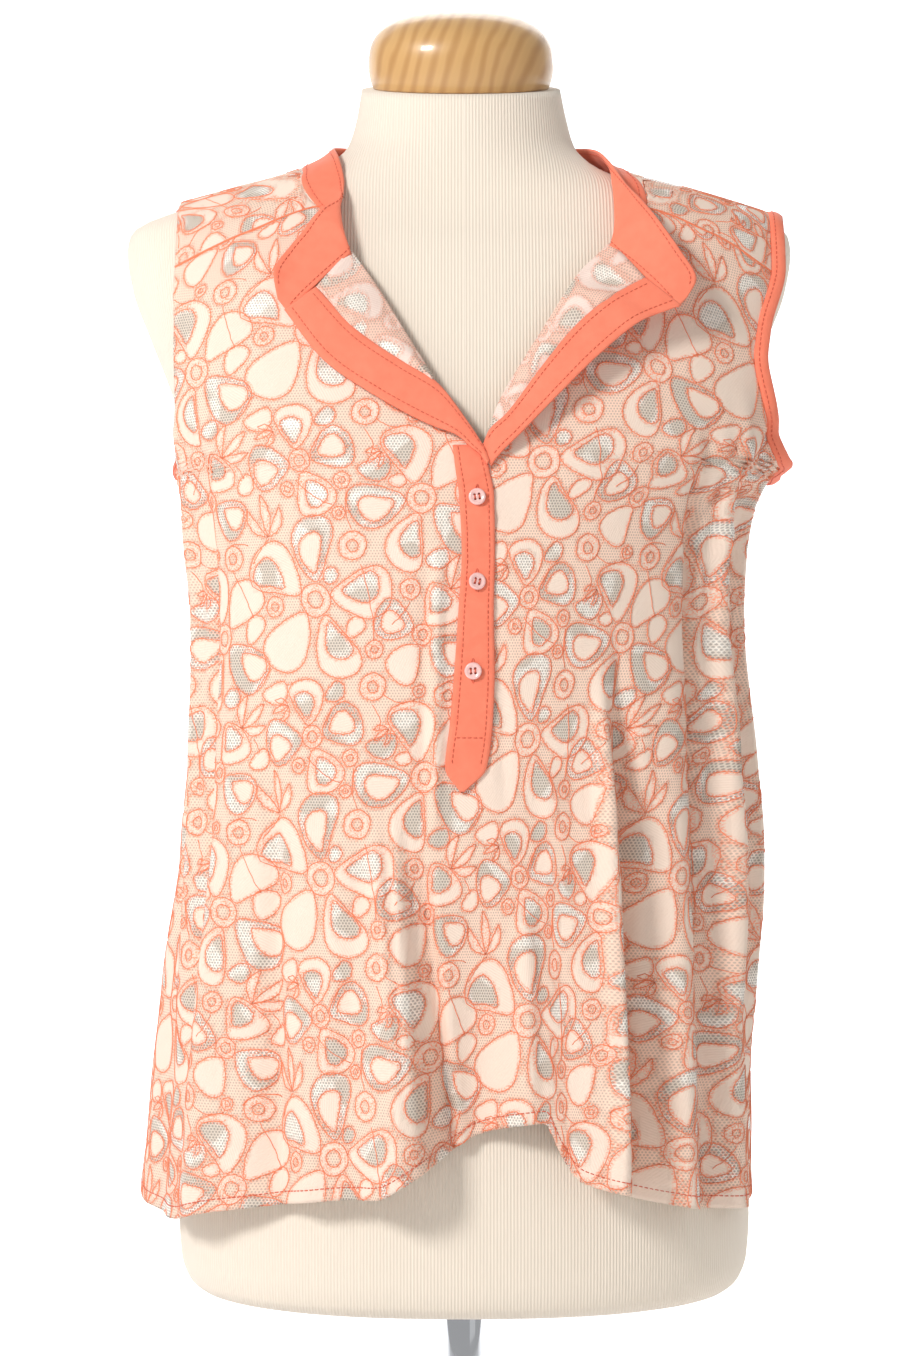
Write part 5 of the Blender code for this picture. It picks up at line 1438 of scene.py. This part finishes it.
def armholeLoop(side):
    hem = float(read(hemLine, "height", 90.0 * side))
    low = (underarm - hem) / (vHeight - hem)
    ups = np.concatenate([np.linspace(low, 1.0, 14), 1 + np.linspace(0, 1, 60)[1:]])
    front = frontPoint(side, np.ones(len(ups)), ups)
    ups = np.concatenate([np.linspace(3.0, 2.0, 30)[1:], np.linspace(2.0, 1.0, 70)[1:-1]])
    return np.concatenate([front, backPoint(side, np.zeros(len(ups)), ups)])


def makeBinding(side):
    loop = armholeLoop(side)
    loop = evenLine(np.concatenate([loop, loop[:1]]), 0.0022)[:-1]
    smoothings = 3
    for _ in range(smoothings):
        loop = (np.roll(loop, 1, axis=0) + 2 * loop + np.roll(loop, -1, axis=0)) / 4
    along = unit(np.roll(loop, -1, axis=0) - np.roll(loop, 1, axis=0))
    outward = clothNormal(loop)
    inward = unit(np.cross(along, outward))
    inward *= np.sign((inward * (loop.mean(axis=0) - loop)).sum(1))[:, None]
    place = np.linspace(0, 1, len(loop), endpoint=False)
    steps = [read(bindingTables[side], name, place)[:, None] for name in bindingColumns[1:]]
    near = loop + inward * steps[0] + outward * steps[1]
    far = loop + inward * steps[2] + outward * steps[3]
    wave = 0.0003 * np.sin(place * 37.0)[:, None]
    grid = np.stack([blend(near, far, s) + outward * (trims["puff"] * math.sin(math.pi * s) + wave)
                     for s in np.linspace(0, 1, 9)], axis=1)
    normal = gridNormals(np.concatenate([grid[-1:], grid, grid[:1]]))[1:-1]
    sign = np.sign((normal * outward[:, None]).sum(-1).mean())
    name = "left" if side < 0 else "right"
    facing = grid if sign > 0 else grid[:, ::-1]
    trimPiece("armhole_binding_cloth_" + name, facing, ["armhole_binding_" + name], True)
    return stitchLines(grid[:, 2], sign * normal[:, 2], stitchOut)


# buttons
buttons = {
    # x, height, degrees turned to the side and about its own axis
    "places": [(0.0068, 0.7048, 0, 8), (0.0068, 0.6576, 14, -12), (0.0045, 0.6079, -4, 4)],
    # half outline from the top down: radius, share of the height
    "outline": [(0.0002, 0.30), (0.0024, 0.29), (0.0029, 0.34), (0.0033, 0.46), (0.0038, 0.50),
                (0.0043, 0.46), (0.0047, 0.30), (0.0048, 0.05), (0.0047, -0.25), (0.0042, -0.45),
                (0.0034, -0.50), (0.0002, -0.50)],
    "height": 0.0022, "facets": 56,
    "hole": 0.00072, "holeOut": 0.00125,        # each of the four holes' radius, and how far out it lies
    "gap": 0.0006,                              # between a button and the placket
    "thread": 0.00017, "threadApart": 0.00024, "threadReach": (-0.0008, 0.0009),
    "slot": (0.0011, 0.0068),                   # half the buttonhole's width and length
    "slotThread": 0.00045, "slotLift": 0.00005,
}


def buttonMesh():
    # a turned blank with four holes drilled through it
    grid = turnedGrid([(r, share * buttons["height"]) for r, share in buttons["outline"]], buttons["facets"])
    mesh = bpy.data.meshes.new("button_blank")
    mesh.from_pydata(grid.reshape(-1, 3).tolist(), [], ringFaces(*grid.shape[:2]))
    blank = bpy.data.objects.new("button_blank", mesh)
    collection.objects.link(blank)
    drills, out = [], buttons["holeOut"]
    for x, y in ((-out, -out), (-out, out), (out, -out), (out, out)):
        bpy.ops.mesh.primitive_cylinder_add(vertices=14, radius=buttons["hole"], depth=0.01,
                                            location=(x, y, 0))
        drills.append(bpy.context.object)
        cut = blank.modifiers.new("hole", "BOOLEAN")
        cut.solver, cut.operation, cut.object = "EXACT", "DIFFERENCE", drills[-1]
    bpy.context.view_layer.update()
    drilled = bpy.data.meshes.new_from_object(blank.evaluated_get(bpy.context.evaluated_depsgraph_get()))
    for thing in drills + [blank]:
        bpy.data.objects.remove(thing)
    points = np.array([vertex.co[:] for vertex in drilled.vertices])
    faces = [tuple(polygon.vertices) for polygon in drilled.polygons]
    bpy.data.meshes.remove(drilled)
    return points, faces


def makeButtons(placketLift):
    points, faces = buttonMesh()
    threads, holes = [], []
    surface, out, (low, high) = placketLift + trims["wall"] / 2, buttons["holeOut"], buttons["threadReach"]
    for number, (x, z, yaw, spin) in enumerate(buttons["places"], start=1):
        centre = overFront(x, z, surface + buttons["gap"] + buttons["height"] / 2)
        below, above = overFront(x, np.array([z - 0.004, z + 0.004]), surface)
        upWay = unit(above - below)
        outWay = unit(np.cross(np.array([1.0, 0.0, 0.0]), upWay))
        outWay = unit(outWay + np.array([math.sin(math.radians(yaw)), 0, 0]))
        rightWay = unit(np.cross(upWay, outWay))
        upWay = np.cross(outWay, rightWay)
        cosine, sine = math.cos(math.radians(spin)), math.sin(math.radians(spin))
        facing = np.stack([rightWay * cosine + upWay * sine, upWay * cosine - rightWay * sine, outWay])
        newPiece(f"button_{number}_resin", points @ facing + centre, faces, resin, [f"button_{number}"])
        for sideways in (-out, out):
            for offset in (-buttons["threadApart"], 0.0, buttons["threadApart"]):
                ends = np.array([(-out, low), (-out * 0.8, high), (out * 0.8, high), (out, low)])
                local = np.concatenate([np.full((4, 1), sideways + offset), ends], axis=1)
                threads.append((local @ facing + centre, np.repeat(outWay[None], 4, axis=0), False))
        loop = np.linspace(0, 2 * math.pi, 40, endpoint=False)
        width, length = buttons["slot"]
        slot = overFront(x + width * np.cos(loop), z + length * np.sin(loop), surface + buttons["slotLift"])
        holes.append((slot, np.repeat(outWay[None], 40, axis=0), True))
    makeThreads("button_threads", threads, buttons["thread"], threadMaterial, 4)
    makeThreads("buttonholes", holes, buttons["slotThread"], threadMaterial, 6)


stitches = makeStrip(-1) + makeStrip(1)
placketStitches, placketLift = makePlacket()
stitches += placketStitches + makeCollar() + makeBinding(-1) + makeBinding(1)
makeButtons(placketLift)
print("trims made")


# hem stitches and seams
def makeHemStitches():
    lines, across, lift = [], np.linspace(0, 1, 160), lace["wall"] / 2 + 0.0003
    for side in (-1, 1):
        for pointOf in (frontPoint, backPoint):
            line = pointOf(side, across, np.zeros(160), lace["hemTurn"] * 0.82)
            lines += stitchLines(line, clothWays(line), lift)
    return lines


def clothWays(line):
    # straight out from the upright axis
    turn = np.radians(turnOf(line))
    return np.stack([np.sin(turn), -np.cos(turn), np.zeros(len(line))], axis=-1)


def makeSeams():
    lines = []
    for side in (-1, 1):
        shoulder = frontPoint(side, np.linspace(seamStart, 1.0, 60), np.full(60, 2.0))
        flank = backPoint(side, np.zeros(160), np.linspace(0.0, 1.0, 160))
        for seam in (shoulder, flank):
            line = evenLine(seam, 0.0025)
            lines.append((line, clothNormal(line), False))
    makeThreads("seam_ridges", lines, 0.0008, cordMaterial, 6)


stitches += makeHemStitches()
makeThreads("topstitching", stitches, stitch["radius"], threadMaterial, 4)
makeSeams()
print("stitches made", len(stitches))


studio = {
    "sky": 0.40,
    # the paper sweep: half width, front end, wall's place and top, its bend's radius, how far under the floor
    "paper": (7.0, -6.0, 5.0, 9.0, 1.2, 0.0005),
    "glow": (-0.4, 1.6, 0.02, 0.75),            # from and to this depth the paper's own light grows
    # soft boxes in metres: place, aimed at, size; and watts
    "lights": [
        ((-1.5, -1.9, 1.9), (0.0, 0.0, 0.65), 0.55, 50.0),
        ((1.9, -1.6, 1.1), (0.0, 0.0, 0.6), 1.6, 1.5),
        ((0.2, 1.4, 1.9), (0.0, 0.0, 0.8), 1.4, 7.0),
    ],
    "distance": 1.75, "centre": (-0.0072, 0.604),      # of the camera from the axis; its x and height
    "pictureHeight": 0.8136,                    # what the picture's height takes in, in metres at the axis
}


def makeCove():
    # a seamless white paper sweep: floor in front, bending up into a wall behind
    half, front, wall, top, bend, under = studio["paper"]
    profile = [(front, -under), (wall - bend, -under)]
    for angle in np.linspace(0.1, math.pi / 2, 12):
        profile.append((wall - bend + bend * math.sin(angle), bend - bend * math.cos(angle) - under))
    profile.append((wall, top))
    points = [(x, y, z) for y, z in profile for x in (-half, half)]
    faces = [(2 * k, 2 * k + 1, 2 * k + 3, 2 * k + 2) for k in range(len(profile) - 1)]
    mesh = bpy.data.meshes.new("paper_sweep")
    mesh.from_pydata(points, [], faces)
    mesh.shade_smooth()
    material, tree, surface = newMaterial("white seamless paper", "#FFFFFF", 0.9,
                                          Emission_Color=(1, 1, 1, 1))
    depth = addNode(tree, "SeparateXYZ", {}, (addNode(tree, "TexCoord", {}, (), "Object"),), "Y")
    joinUp(tree, surface, {"Emission Strength": addNode(tree, "MapRange", {}, (depth, *studio["glow"]))})
    mesh.materials.append(material)
    sweep = bpy.data.objects.new("paper_sweep", mesh)
    collection.objects.link(sweep)


def makeStudio():
    scene = bpy.context.scene
    world = bpy.data.worlds.new("studio air")
    world.use_nodes = True
    sky = world.node_tree.nodes["Background"].inputs
    sky["Color"].default_value, sky["Strength"].default_value = (1.0, 1.0, 1.0, 1.0), studio["sky"]
    scene.world = world
    scene.view_settings.view_transform = "Standard"
    for number, (place, aim, size, watts) in enumerate(studio["lights"], start=1):
        data = bpy.data.lights.new(f"soft_box_{number}", "AREA")
        data.energy, data.size = watts, size
        box = bpy.data.objects.new(f"soft_box_{number}", data)
        box.location = place
        box.rotation_euler = (Vector(aim) - Vector(place)).to_track_quat("-Z", "Y").to_euler()
        collection.objects.link(box)
    lens = bpy.data.cameras.new("photo_camera")
    lens.lens = lens.sensor_width * studio["distance"] / studio["pictureHeight"]
    camera = bpy.data.objects.new("photo_camera", lens)
    camera.location = (studio["centre"][0], -studio["distance"], studio["centre"][1])
    camera.rotation_euler = (math.pi / 2, 0.0, 0.0)
    collection.objects.link(camera)
    scene.camera = camera


makeCove()
makeStudio()
print("studio made")
